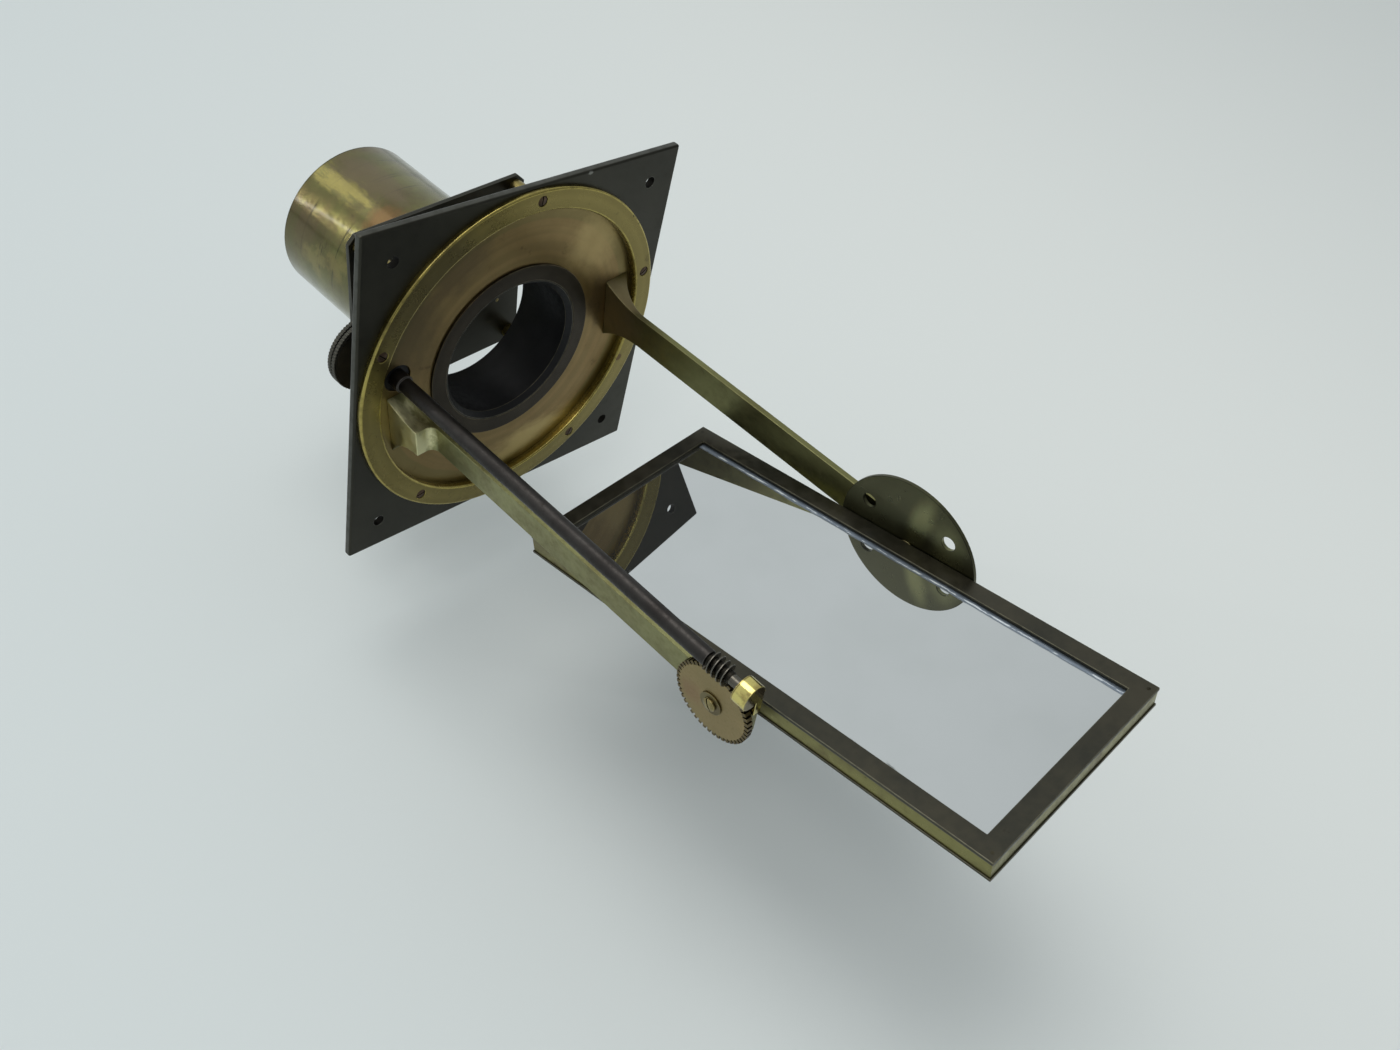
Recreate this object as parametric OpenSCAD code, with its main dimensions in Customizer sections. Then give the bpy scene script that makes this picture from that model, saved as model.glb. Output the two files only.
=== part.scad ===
// Solar microscope: the window plate, its turning disc with two arms, and the mirror that they carry.
// Frame: the origin is at the centre of the window plate's outer face, on the optical axis.
// +Y runs along the optical axis into the room, -Y towards the sun, +Z up and +X to the right.

/* [Window plate] */
// Width of the plate outside the ring, where the ring comes nearest the edge
plate_margin = 1.3; // [0.8:0.1:6]
// Thickness of the plate
plate_t = 3.6; // [3.2:0.1:5]
// Radius of the plate's corners
plate_corner_r = 1; // [0.5:0.5:4]
// Distance from an edge to the middle of a corner hole
hole_inset = 13.75; // [12:0.25:15]
// Radius of the corner holes
hole_r = 2.4; // [1.5:0.1:2.7]
// Radius of the countersink around a corner hole
hole_sink_r = 2.8; // [2.6:0.1:4]

/* [Retaining ring] */
// How far the ring stands out from the plate
ring_t = 2.1; // [1.6:0.1:3]
// Width of the ring's flat face
ring_w = 9.3; // [9:0.1:10]
// Thickness of the lip that holds the turning disc
ring_lip_w = 2.6; // [1.8:0.1:3]
// Distance of a ring screw from the ring's outer edge
ring_screw_inset = 4.45; // [3.8:0.05:4.8]
// Depth of the shallow seat that the ring is let into
ring_seat = 0.2; // [0.1:0.1:0.4]
// Gap between the right foot and the ring's opening
ring_clearance = 2.2; // [1.6:0.1:4]
// Number of ring screws
ring_screw_count = 5; // [4:1:8]
// Angle of the first ring screw
ring_screw_phase = 16; // [0:1:60]
// Radius of a ring screw's head
ring_screw_head_r = 2.2; // [1.6:0.1:2.4]

/* [Turning disc] */
// Angle that the disc is turned to, with the arms and the mirror
turn_angle = 8.3; // [0:0.1:20]
// Depth of the disc's face behind the plate's outer face
disc_recess = 1.8; // [1.5:0.1:2]
// Thickness of the disc's held rim
disc_rim_t = 0.85; // [0.6:0.05:0.9]
// Thickness of the disc
disc_t = 3; // [2.6:0.1:5]
// Width of the plate's lip behind the disc's rim
plate_lip_w = 1.7; // [1.2:0.1:2]

/* [Aperture] */
// Width of the flat collar on the disc
collar_w = 6.9; // [5:0.1:9]
// Width of the tube's bevelled mouth outside its wall
mouth_w = 1.2; // [0.8:0.1:2]
// Thickness of the flat collar
collar_t = 0.9; // [0.6:0.1:1.6]
// Inner radius of the black tube behind the aperture
short_tube_hole_r = 30.4; // [28:0.1:30.6]
// Wall of the black tube
short_tube_wall = 1.4; // [1:0.1:1.7]
// Distance from the disc's face to the tube's far rim
short_tube_len = 29.1; // [26:0.1:32]

/* [Pivot] */
// Distance from the plate's outer face to the mirror's pivot
pivot_reach = 169.8; // [160:0.1:180]
// Drop of the pivot below the optical axis
pivot_drop = 3.3; // [2:0.1:4]
// Radius of the pivot where it turns in an arm
pivot_r = 2.5; // [2:0.1:2.8]

/* [Left arm] */
// Gap between the mirror's frame and the left arm
left_arm_gap = 3.92; // [3.8:0.02:4.2]
// Thickness of the left arm
left_arm_t = 3.3; // [2.6:0.1:3.4]
// Height of the left arm above the axis
left_arm_top = 3.65; // [3:0.05:4.5]
// Depth of the left arm below the axis
left_arm_bottom = 8.5; // [7:0.1:9.5]
// Length of the left arm past the pivot
left_arm_past = 14.6; // [14:0.1:15.5]
// How far the left foot stands out from the arm
left_foot_step = 7.6; // [6:0.1:8.2]
// Top of the left foot at the disc
left_foot_top = 8.2; // [7:0.1:8.3]
// Bottom of the left foot at the disc
left_foot_bottom = 19.6; // [17:0.1:21]
// Reach of the left foot from the plate's outer face
left_foot_reach = 15.7; // [13:0.1:18]

/* [Right arm] */
// Thickness of the spacer between the steady disc and the right arm, with its play
spacer_t = 1.63; // [1.4:0.01:2.2]
// Thickness of the right arm
right_arm_t = 2.65; // [2.2:0.05:3.2]
// Height of the right arm
right_arm_h = 15.2; // [13:0.1:17]
// How far the right foot flares out from the arm
right_flare = 9.15; // [7:0.05:9.6]
// Top of the right foot at the disc
right_foot_top = 10.1; // [8:0.1:11]
// Bottom of the right foot at the disc
right_foot_bottom = 18.6; // [16:0.1:20]
// Reach of the right foot from the plate's outer face
right_foot_reach = 20.3; // [17:0.1:24]

/* [Worm drive] */
// Number of teeth on the wheel
wheel_teeth = 46; // [44:1:48]
// Axial pitch of the worm
worm_pitch = 2.16; // [2.1:0.01:2.2]
// Thickness of the wheel
wheel_t = 2.6; // [2:0.1:2.7]
// Pitch radius of the worm
worm_pitch_r = 3.3; // [3.25:0.05:3.5]
// Height of a worm thread or a tooth outside its pitch line
tooth_out = 0.72; // [0.6:0.02:0.76]
// Depth of a worm thread or a tooth inside its pitch line
tooth_in = 0.95; // [0.9:0.02:1]
// Length of the worm
worm_len = 10.2; // [9.6:0.1:11.8]
// Radius of the tilt rod
rod_r = 3.1; // [2.8:0.05:3.2]
// Distance of the tilt rod's axis from the left arm's outer face
rod_stand_off = 1.9; // [1.7:0.05:2.1]
// Radius of the rod's collar beside the disc
rod_collar_r = 3.8; // [3.6:0.1:4.6]
// Length of the rod's collar outside the disc
rod_collar_len = 4.5; // [3:0.5:9]
// Radius of the bush that the rod turns in
bush_r = 5.8; // [5.4:0.1:7.4]
// Radius of the bearing boss at the rod's end
boss_r = 5.1; // [4.6:0.1:5.1]
// Length of the bearing boss
boss_len = 5.8; // [4.6:0.1:6.2]
// Radius of the rod's journal in the boss
journal_r = 1.9; // [1.5:0.1:2.1]

/* [Tilt knob] */
// Radius of the knob
knob_r = 16.3; // [14:0.1:18.5]
// Distance from the plate's outer face to the knob's front face
knob_y = 18.7; // [17:0.1:24]
// Thickness of the knob
knob_t = 4.6; // [4.4:0.1:8]
// Ribs around each rim of the knob
knob_ribs = 72; // [48:4:90]

/* [Mirror] */
// Tilt of the mirror, with its free end raised
mirror_tilt = 11.6; // [0:0.1:20]
// Width of the mirror's frame
frame_w = 92.8; // [91.5:0.1:93]
// Length of the mirror's frame
frame_len = 210.8; // [195:0.1:215]
// Distance of the frame's middle behind the pivot
frame_shift = 0.7; // [0:0.1:2]
// Distance of the frame's middle to the right of the optical axis
frame_offset = 1.42; // [1.35:0.01:1.5]
// Width of the frame's front bars
bezel_w = 7.4; // [6:0.1:8.5]
// Thickness of the front plate
bezel_t = 1.5; // [1.1:0.1:1.6]
// Height of the front face above the pivot
frame_top = 3.7; // [3.5:0.1:3.9]
// Thickness of the whole frame
frame_t = 8.9; // [8.7:0.1:9.4]
// Thickness of the back plate
back_t = 1.1; // [0.8:0.1:1.3]
// Thickness of the brass rim's wall
rim_wall = 3.6; // [3.4:0.1:4]
// Thickness of the mirror glass
glass_t = 3; // [2.4:0.1:3.4]

/* [Steady disc] */
// Radius of the perforated disc
steady_r = 30.8; // [28:0.1:34]
// Thickness of the perforated disc
steady_t = 1.6; // [1.2:0.1:1.7]
// Radius of the holes in the disc
steady_hole_r = 2.95; // [2:0.05:3.5]
// Radius of the circle of holes
steady_hole_circle_r = 22.5; // [20:0.1:24]
// Angle of a hole from the frame's length
steady_hole_angle = 36.5; // [30:0.5:45]

/* [Stage and rear tube] */
// Side of the square stage plate
stage_w = 86.2; // [84:0.1:88]
// Thickness of the stage plate
stage_t = 2; // [1.6:0.1:2.6]
// Distance from the plate's outer face to the stage plate
stage_y = 48.2; // [44:0.1:52]
// Angle that the stage plate is turned to
stage_angle = 4.9; // [2:0.1:10]
// Cut across each corner of the stage plate
stage_chamfer = 3.5; // [2:0.1:4.5]
// Distance of a pillar from the stage plate's edges
pillar_inset = 5; // [4.4:0.1:6]
// Radius of a pillar
pillar_r = 3.4; // [2.8:0.1:3.8]
// Outer radius of the rear tube
tube_r = 34; // [33.4:0.1:35]
// Wall of the rear tube
tube_wall = 1.2; // [1:0.1:1.4]
// Length of the rear tube
tube_len = 60.8; // [50:0.1:75]
// Width of the flange that holds the rear tube
flange_w = 4.2; // [3.8:0.1:4.6]
// Thickness of the flange
flange_t = 3; // [2.4:0.1:4]

/* [Condenser] */
// Wall of the lens cell outside the lens
cell_wall = 3.87; // [3.4:0.01:4.9]
// Depth of the counterbore that the lens cell seats in
cell_seat_depth = 0.6; // [0.4:0.05:0.7]
// Thickness of the lens at its middle
lens_t = 8; // [6.6:0.1:9]
// Thickness of the lens at its edge
lens_edge_t = 2.6; // [2:0.1:3]
// Width of the cell's shoulder that the lens rests on
cell_shoulder_w = 1.9; // [1.4:0.1:3]
// Length of the lens cell
cell_len = 13; // [12:0.5:20]

/* [Fits] */
// Radial clearance of a shaft in its bearing
running_fit = 0.06; // [0.03:0.01:0.1]
// Radial clearance of the turning disc in the plate
disc_fit = 0.25; // [0.2:0.01:0.3]
// Gap along an axis between pieces that turn past each other
end_play = 0.1; // [0.05:0.01:0.15]
// Clearance of a screw or a fixed piece in its seat
seat_fit = 0.03; // [0.02:0.01:0.05]

/* [Hidden] */

$fn = 96;
cut = 1;

// Mirror's frame and the arms beside it
frame_left = frame_offset - frame_w / 2;
frame_right = frame_offset + frame_w / 2;
back_proud = 0.2;
left_arm_in = left_arm_gap - frame_left;
left_arm_out = left_arm_in + left_arm_t;
left_foot_out = left_arm_out + left_foot_step;
steady_gap = 0.15;
steady_in = frame_right + back_proud + steady_gap;
steady_out = steady_in + steady_t;
right_arm_in = steady_out + spacer_t;
right_arm_out = right_arm_in + right_arm_t;
right_foot_out = right_arm_out + right_flare;
rod_out = left_arm_out + rod_stand_off;

// Ring, disc and plate: radii outwards from the optical axis
ring_hole_r = right_foot_out + ring_clearance;
ring_r = ring_hole_r + ring_w;
screw_circle_r = ring_r - ring_screw_inset;
plate_w = 2 * (ring_r + plate_margin);
ring_lip_r = ring_hole_r + ring_lip_w;
plate_bore_r = ring_lip_r + seat_fit;
disc_rim_r = plate_bore_r - disc_fit;
plate_lip_r = plate_bore_r - plate_lip_w;
disc_r = plate_lip_r - disc_fit;
disc_back = disc_recess + disc_t;
disc_rim_back = disc_recess + disc_rim_t;
ring_bevel = 0.4;
ring_screw_head_h = 1.1;
ring_screw_shank_r = 1.3;
ring_screw_end = plate_t - 0.4;

// Aperture
short_tube_r = short_tube_hole_r + short_tube_wall;
short_tube_end = disc_recess + short_tube_len;
collar_hole_r = short_tube_r + mouth_w;
collar_r = collar_hole_r + collar_w;
short_tube_lip_r = collar_hole_r - seat_fit;
mouth_depth = 1.4;
mouth_edge = 0.5;
collar_front = disc_recess - collar_t;
collar_edge = 0.3;
mouth_front = collar_front + 0.1;
short_tube_edge = 0.4;

// Pivot and arms
pivot_y = -pivot_reach;
pivot_z = -pivot_drop;
left_arm_end = pivot_y - left_arm_past;
left_step_run = 3.6;
right_arm_end = pivot_y - right_arm_h / 2;
foot_margin = 0.8;
foot_screw_inset = 6.5;
foot_screw_play = 0.4;
arm_screw_r = 1.6;
arm_screw_head_r = 3;
arm_screw_head_h = 1.6;
arm_screw_depth = 7;
left_foot_mid = (left_foot_out + left_arm_in) / 2;
left_screws_z = [foot_screw_inset - left_foot_bottom, left_foot_top - foot_screw_inset];
right_screw_out = 2.75;
right_foot_mid = right_arm_out + right_screw_out;
right_screws_z = [foot_screw_inset - right_foot_bottom, right_foot_top - foot_screw_inset];
// Radius of the arc that sweeps from an arm's edge to its foot's edge, with this rise and run
function sweep_r(rise, run) = (rise * rise + run * run) / (2 * rise);

// Worm and wheel, in mesh at rest
wheel_pitch_r = wheel_teeth * worm_pitch / (2 * PI);
wheel_r = wheel_pitch_r + tooth_out;
wheel_root_r = wheel_pitch_r - tooth_in;
drive_centre = wheel_pitch_r + worm_pitch_r;
worm_r = worm_pitch_r + tooth_out;
worm_root_r = worm_pitch_r - tooth_in;
lead_angle = atan(worm_pitch / (2 * PI * worm_pitch_r));
tooth_root_w = 0.6 * worm_pitch;
tooth_tip_w = 0.23 * worm_pitch;
rod_z = pivot_z + drive_centre;
wheel_gap = 0.4;
wheel_in = left_arm_out + wheel_gap;
wheel_out = wheel_in + wheel_t;
worm_steps = 18;
thread_turns = (worm_len - tooth_root_w) / worm_pitch;
thread_sink = 0.3;
boss_gap = 0.4;
boss_front = pivot_y - sqrt(wheel_r * wheel_r - pow(drive_centre - boss_r - boss_gap, 2));
boss_end = boss_front - boss_len;
boss_cap = 1.2;
boss_stem_w = left_arm_t;
journal_end = boss_end + boss_cap + end_play;
bearing_screw_r = 1;
bearing_screw_half = 3.8;
journal_sink = 4;
bush_face = disc_recess + 0.8;
bush_tail_len = 6;
bush_back = disc_back + bush_tail_len;
bush_tail_r = bush_r - 1.5;
bush_flange_r = bush_r + 2;
bush_flange_t = 1.8;
rod_back = knob_y + knob_t;

// Knob
knob_rim_w = 1.75;
knob_groove_r = knob_r - 0.9;
knob_rib_h = 0.35;
knob_edge = 0.25;
knob_tenon_r = 2.2;
knob_screw_r = 1.4;
knob_screw_head_r = 3.4;
knob_screw_head_h = 1.6;
knob_screw_len = 7;
knob_screw_play = 0.3;
knob_tenon_short = 2;

// Mirror, in its own frame: x to the right, y away from the sun, z up from the mirror's face
frame_bottom = frame_top - frame_t;
bezel_bottom = frame_top - bezel_t;
back_top = frame_bottom + back_t;
rim_inset = 0.3;
glass_side = rim_inset + rim_wall + 0.2;
glass_bottom = bezel_bottom - glass_t;
pin_inset_x = 3;
pin_inset_y = 2.5;
pin_r = 0.7;
pin_len = 3;
spindle_flange_r = 3.9;
spindle_neck_r = bezel_bottom - 0.15;
tenon_r = 1.8;
tenon_len = 2.8;
rim_left = frame_left + rim_inset;
rim_right = frame_right - rim_inset;
washer_r = 4.7;
washer_t = 0.6;
pivot_screw_head_r = 2.55;
pivot_screw_head_h = 1.4;
pivot_screw_r = 1.1;
pivot_screw_len = 5;
pivot_screw_play = 0.2;

// Steady disc on the mirror's right side
spacer_r = 6;
right_end = right_arm_out + end_play;
disc_screw_r = 0.9;
disc_screw_head_r = 1.8;
disc_screw_head_h = 0.8;
disc_screw_spread = 11;

// Stage, tube and condenser
stage_back = stage_y + stage_t;
pillar_at = stage_w / 2 - pillar_inset;
pillar_tenon_r = 1.9;
stage_screw_r = 1.3;
stage_screw_head_r = 2.6;
stage_screw_head_h = 1.4;
stage_screw_len = 6;
stage_screw_play = 0.3;
tube_end = stage_back + tube_len;
tube_edge = 0.3;
tube_hole_r = tube_r - tube_wall;
cell_r = tube_hole_r + cell_seat_depth - seat_fit;
lens_r = cell_r - cell_wall - 0.1;
flange_r = tube_r + flange_w;
flange_bevel = 0.6;
flange_screw_r = 0.9;
flange_screw_head_r = 1.6;
flange_screw_head_h = 0.9;
flange_circle_r = (tube_r + flange_r) / 2;
stage_hole_r = lens_r - 0.4;
cell_front = stage_back + end_play;
cell_end = cell_front + cell_len;
cell_shoulder_t = 1.6;
lens_pocket_r = cell_r - cell_wall;
cell_hole_r = lens_pocket_r - cell_shoulder_w;
// The lens's bulging faces rest on the edge of the cell's shoulder and of the ring
lens_bulge = (lens_t - lens_edge_t) / 2;
lens_face_r = (lens_r * lens_r + lens_bulge * lens_bulge) / (2 * lens_bulge);
lens_seat = 0.08;
function lens_sag(r) = lens_face_r - sqrt(lens_face_r * lens_face_r - r * r);
lens_mid = cell_front + cell_shoulder_t + lens_seat + lens_t / 2 - lens_sag(cell_hole_r);
cell_ring_w = 2.2;
cell_ring_t = 2.4;

brass = [0.62, 0.55, 0.28];
old_brass = [0.47, 0.42, 0.22];
copper_brass = [0.52, 0.4, 0.24];
bronzed = [0.22, 0.21, 0.18];
blackened = [0.09, 0.09, 0.09];
rod_brown = [0.27, 0.22, 0.2];

// A round bar along Y between two values of y
module bar_y(r, y0, y1) {
    translate([0, y0, 0]) rotate([-90, 0, 0]) cylinder(r = r, h = y1 - y0);
}

// A round bar along X between two values of x
module bar_x(r, x0, x1) {
    translate([x0, 0, 0]) rotate([0, 90, 0]) cylinder(r = r, h = x1 - x0);
}

// A flat shape drawn in x and z, given its thickness between two values of y
module slab_y(y0, y1) {
    translate([0, y1, 0]) rotate([90, 0, 0]) linear_extrude(y1 - y0) children();
}

// A flat shape drawn in y and z, given its thickness between two values of x
module slab_x(x0, x1) {
    translate([x0, 0, 0]) rotate([90, 0, 90]) linear_extrude(x1 - x0) children();
}

// A profile of radius and y, spun around the optical axis
module spun_y() {
    rotate([-90, 0, 0]) rotate_extrude() children();
}

// The disc's own frame: everything on the disc is turned with it
module turned() {
    rotate([0, -turn_angle, 0]) children();
}

// The stage plate's own frame
module stage_turned() {
    rotate([0, -stage_angle, 0]) children();
}

// The tilt rod's own axis
module at_rod() {
    turned() translate([-rod_out, 0, rod_z]) children();
}

// The pivot's own axis, before the mirror is tilted
module at_pivot() {
    turned() translate([0, pivot_y, pivot_z]) children();
}

// The mirror's own frame
module tilted() {
    at_pivot() rotate([-mirror_tilt, 0, 0]) children();
}

// A square with rounded corners
module rounded_square(w, r) {
    square([w, w - 2 * r], center = true);
    square([w - 2 * r, w], center = true);
    for (sx = [-1, 1], sz = [-1, 1]) {
        translate([sx * (w / 2 - r), sz * (w / 2 - r)]) circle(r);
    }
}

// A screw along Y whose head faces -Y: the head's front is at y0
module screw_y(y0, head_r, head_h, shank_r, y1, slot_angle) {
    difference() {
        union() {
            bar_y(head_r, y0, y0 + head_h);
            bar_y(shank_r, y0 + head_h - 0.1, y1);
        }
        rotate([0, slot_angle, 0]) translate([-head_r - cut, y0 - cut, -head_r * 0.12])
            cube([2 * (head_r + cut), cut + head_h * 0.5, head_r * 0.24]);
    }
}

// The hole that a screw of that kind seats in
module screw_hole_y(y0, head_r, head_h, shank_r, y1) {
    bar_y(head_r + seat_fit, y0 - cut, y0 + head_h);
    bar_y(shank_r + seat_fit, y0, y1);
}

module at_ring_screws() {
    for (i = [0 : ring_screw_count - 1]) {
        rotate([0, -(ring_screw_phase + i * 360 / ring_screw_count), 0])
            translate([screw_circle_r, 0, 0]) children();
    }
}

module window_plate() {
    color(bronzed) difference() {
        slab_y(0, plate_t) rounded_square(plate_w, plate_corner_r);
        bar_y(ring_r + seat_fit, -cut, ring_seat);
        bar_y(plate_bore_r, -cut, disc_rim_back + end_play);
        bar_y(plate_lip_r, 0, plate_t + cut);
        at_ring_screws() bar_y(ring_screw_shank_r + seat_fit, -cut, ring_screw_end + seat_fit);
        for (sx = [-1, 1], sz = [-1, 1]) {
            translate([sx * (plate_w / 2 - hole_inset), 0, sz * (plate_w / 2 - hole_inset)]) {
                bar_y(hole_r, -cut, plate_t + cut);
                translate([0, plate_t - (hole_sink_r - hole_r), 0]) rotate([-90, 0, 0])
                    cylinder(r1 = hole_r, r2 = hole_sink_r, h = hole_sink_r - hole_r);
            }
        }
    }
}

module retaining_ring() {
    color(old_brass) difference() {
        spun_y() polygon([
            [ring_hole_r, -ring_t + ring_bevel],
            [ring_hole_r + ring_bevel, -ring_t],
            [ring_r - ring_bevel, -ring_t],
            [ring_r, -ring_t + ring_bevel],
            [ring_r, ring_seat],
            [ring_lip_r, ring_seat],
            [ring_lip_r, disc_recess - end_play],
            [ring_hole_r, disc_recess - end_play]
        ]);
        at_ring_screws() screw_hole_y(-ring_t, ring_screw_head_r, ring_screw_head_h,
            ring_screw_shank_r, cut);
    }
}

module ring_screws() {
    color(bronzed) for (i = [0 : ring_screw_count - 1]) {
        rotate([0, -(ring_screw_phase + i * 360 / ring_screw_count), 0])
            translate([screw_circle_r, 0, 0])
            screw_y(-ring_t, ring_screw_head_r - seat_fit, ring_screw_head_h,
                ring_screw_shank_r, ring_screw_end, 35 + 52 * i);
    }
}

module at_left_foot_screws() {
    for (z = left_screws_z) {
        turned() translate([-left_foot_mid, 0, z]) children();
    }
}

module at_right_foot_screws() {
    for (z = right_screws_z) {
        turned() translate([right_foot_mid, 0, z]) children();
    }
}

module at_pillars() {
    for (sx = [-1, 1], sz = [-1, 1]) {
        stage_turned() translate([sx * pillar_at, 0, sz * pillar_at]) children();
    }
}

module turning_disc() {
    color(copper_brass) difference() {
        union() {
            bar_y(disc_rim_r, disc_recess, disc_rim_back);
            bar_y(disc_r, disc_recess, disc_back);
        }
        bar_y(short_tube_r + seat_fit, disc_recess - cut, disc_back + cut);
        at_rod() bar_y(bush_r + seat_fit, disc_recess - cut, disc_back + cut);
        at_pillars() bar_y(pillar_tenon_r + seat_fit, disc_recess + cut, disc_back + cut);
        at_left_foot_screws() bar_y(arm_screw_r + seat_fit, disc_recess - cut, disc_back + cut);
        at_right_foot_screws() bar_y(arm_screw_r + seat_fit, disc_recess - cut, disc_back + cut);
    }
}

module aperture_collar() {
    color(blackened) spun_y() polygon([
        [collar_hole_r, collar_front],
        [collar_r - collar_edge, collar_front],
        [collar_r, collar_front + collar_edge],
        [collar_r, disc_recess],
        [collar_hole_r, disc_recess]
    ]);
}

module short_tube() {
    color(blackened) spun_y() polygon([
        [short_tube_hole_r, disc_recess + mouth_depth],
        [short_tube_lip_r - mouth_edge, mouth_front],
        [short_tube_lip_r, mouth_front],
        [short_tube_lip_r, disc_recess],
        [short_tube_r, disc_recess],
        [short_tube_r, short_tube_end - short_tube_edge],
        [short_tube_r - short_tube_edge, short_tube_end],
        [short_tube_hole_r, short_tube_end]
    ]);
}

// The outline of an arm and its foot from the side: arcs sweep from the foot's height to the arm's
module arm_outline(arm_top, arm_low, foot_top, foot_low, reach, end) {
    run = reach + disc_recess;
    top_r = sweep_r(foot_top - arm_top, run);
    low_r = sweep_r(foot_low - arm_low, run);
    difference() {
        translate([-reach, -foot_low - cut]) square([run, foot_low + foot_top + 2 * cut]);
        translate([-reach, arm_top + top_r]) circle(top_r, $fn = 160);
        translate([-reach, -arm_low - low_r]) circle(low_r, $fn = 160);
    }
    translate([end, -arm_low]) square([-end - reach + 0.01, arm_low + arm_top]);
}

module left_arm() {
    plan_h = left_foot_bottom + left_foot_top + 2 * cut;
    color(brass) turned() difference() {
        intersection() {
            slab_x(-left_foot_out, -left_arm_in) arm_outline(left_arm_top, left_arm_bottom,
                left_foot_top, left_foot_bottom, left_foot_reach, left_arm_end);
            translate([0, 0, -left_foot_bottom - cut]) linear_extrude(plan_h) left_arm_plan();
        }
        for (z = left_screws_z) {
            translate([-left_foot_mid, 0, z]) foot_screw_hole();
        }
        translate([0, pivot_y, pivot_z])
            bar_x(pivot_r + running_fit, -left_arm_out - cut, -left_arm_in + cut);
        translate([-left_arm_out + left_arm_t / 2, boss_end + boss_len / 2, left_arm_top])
            bearing_screw_hole();
    }
}

// The blind hole that a foot screw is driven into
module foot_screw_hole() {
    bar_y(arm_screw_r + seat_fit, disc_recess - arm_screw_depth - foot_screw_play, disc_recess + cut);
}

// The hole of the screw between the left arm and the boss above it
module bearing_screw_hole() {
    half = bearing_screw_half + 0.2;
    translate([0, 0, -half]) cylinder(r = bearing_screw_r + seat_fit, h = 2 * half);
}

// The left arm from above: the foot steps in to the arm with a hollow curve
module left_arm_plan() {
    difference() {
        translate([-left_foot_out, -left_foot_reach - left_step_run])
            square([left_foot_out - left_arm_in, left_foot_reach + left_step_run + disc_recess]);
        translate([-left_foot_out - cut, -left_foot_reach - left_step_run - cut])
            square([left_foot_step + cut - left_step_run, left_step_run + cut]);
        translate([-left_arm_out - left_step_run, -left_foot_reach - left_step_run])
            circle(left_step_run);
    }
    translate([-left_arm_out, left_arm_end]) square([left_arm_t, -left_arm_end - left_foot_reach]);
}

// The right arm from above: the foot flares outwards in one long hollow curve
module right_arm_plan() {
    run = right_foot_reach + disc_recess;
    flare_r = sweep_r(right_flare, run);
    difference() {
        translate([right_arm_in, -right_foot_reach]) square([right_foot_out - right_arm_in + cut, run]);
        translate([right_arm_out + flare_r, -right_foot_reach]) circle(flare_r, $fn = 160);
    }
    translate([right_arm_in, right_arm_end])
        square([right_arm_t, -right_arm_end - right_foot_reach + 0.01]);
}

module right_arm() {
    top = pivot_z + right_arm_h / 2;
    low = -pivot_z + right_arm_h / 2;
    color(brass) turned() difference() {
        intersection() {
            slab_x(right_arm_in, right_foot_out + 2 * cut) {
                arm_outline(top, low, right_foot_top, right_foot_bottom, right_foot_reach, pivot_y);
                translate([pivot_y, pivot_z]) circle(right_arm_h / 2);
            }
            translate([0, 0, -right_foot_bottom - cut])
                linear_extrude(right_foot_bottom + right_foot_top + 2 * cut) right_arm_plan();
            bar_y(ring_hole_r - foot_margin, right_arm_end - cut, disc_recess + cut);
        }
        for (z = right_screws_z) {
            translate([right_foot_mid, 0, z]) foot_screw_hole();
        }
        translate([0, pivot_y, pivot_z])
            bar_x(pivot_r + running_fit, right_arm_in - cut, right_arm_out + cut);
    }
}

// A foot screw: its head is on the disc's back
module foot_screw() {
    mirror([0, 1, 0]) screw_y(-disc_back - arm_screw_head_h, arm_screw_head_r, arm_screw_head_h,
        arm_screw_r, arm_screw_depth - disc_recess, 20);
}

module arm_screws() {
    color(old_brass) {
        at_left_foot_screws() foot_screw();
        at_right_foot_screws() foot_screw();
    }
}

module rod_bush() {
    color(bronzed) at_rod() difference() {
        union() {
            bar_y(bush_r, bush_face, disc_back + 0.01);
            bar_y(bush_flange_r, disc_back, disc_back + bush_flange_t);
            bar_y(bush_tail_r, disc_back, bush_back);
        }
        bar_y(rod_r + running_fit, bush_face - cut, bush_back + cut);
    }
}

module rod_end_bearing() {
    stem_x = rod_out - left_arm_out;
    color(brass) at_rod() difference() {
        union() {
            bar_y(boss_r, boss_end, boss_front);
            translate([stem_x, boss_end, left_arm_top - rod_z])
                cube([boss_stem_w, boss_len, rod_z - left_arm_top]);
        }
        bar_y(journal_r + running_fit, boss_end + boss_cap, boss_front + cut);
        translate([stem_x + left_arm_t / 2, boss_end + boss_len / 2, left_arm_top - rod_z])
            bearing_screw_hole();
    }
}

module bearing_screw() {
    color(old_brass) turned()
        translate([-left_arm_out + left_arm_t / 2, boss_end + boss_len / 2, left_arm_top])
        cylinder(r = bearing_screw_r, h = 2 * bearing_screw_half, center = true);
}

module stage_pillars() {
    color(brass) at_pillars() difference() {
        union() {
            bar_y(pillar_tenon_r, disc_recess + cut + 0.1, disc_back + 0.1);
            bar_y(pillar_r, disc_back, stage_y);
        }
        bar_y(stage_screw_r + seat_fit, stage_back - stage_screw_len - stage_screw_play, stage_y + cut);
    }
}

module stage_plate() {
    half = stage_w / 2;
    edge = half - stage_chamfer;
    color(bronzed) difference() {
        stage_turned() slab_y(stage_y, stage_back) polygon([
            [-half, -edge], [-edge, -half], [edge, -half], [half, -edge],
            [half, edge], [edge, half], [-edge, half], [-half, edge]
        ]);
        bar_y(stage_hole_r, stage_y - cut, stage_back + cut);
        at_pillars() bar_y(stage_screw_r + seat_fit, stage_y - cut, stage_back + cut);
        at_flange_screws() bar_y(flange_screw_r + seat_fit, stage_y - cut, stage_back + cut);
    }
}

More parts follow.
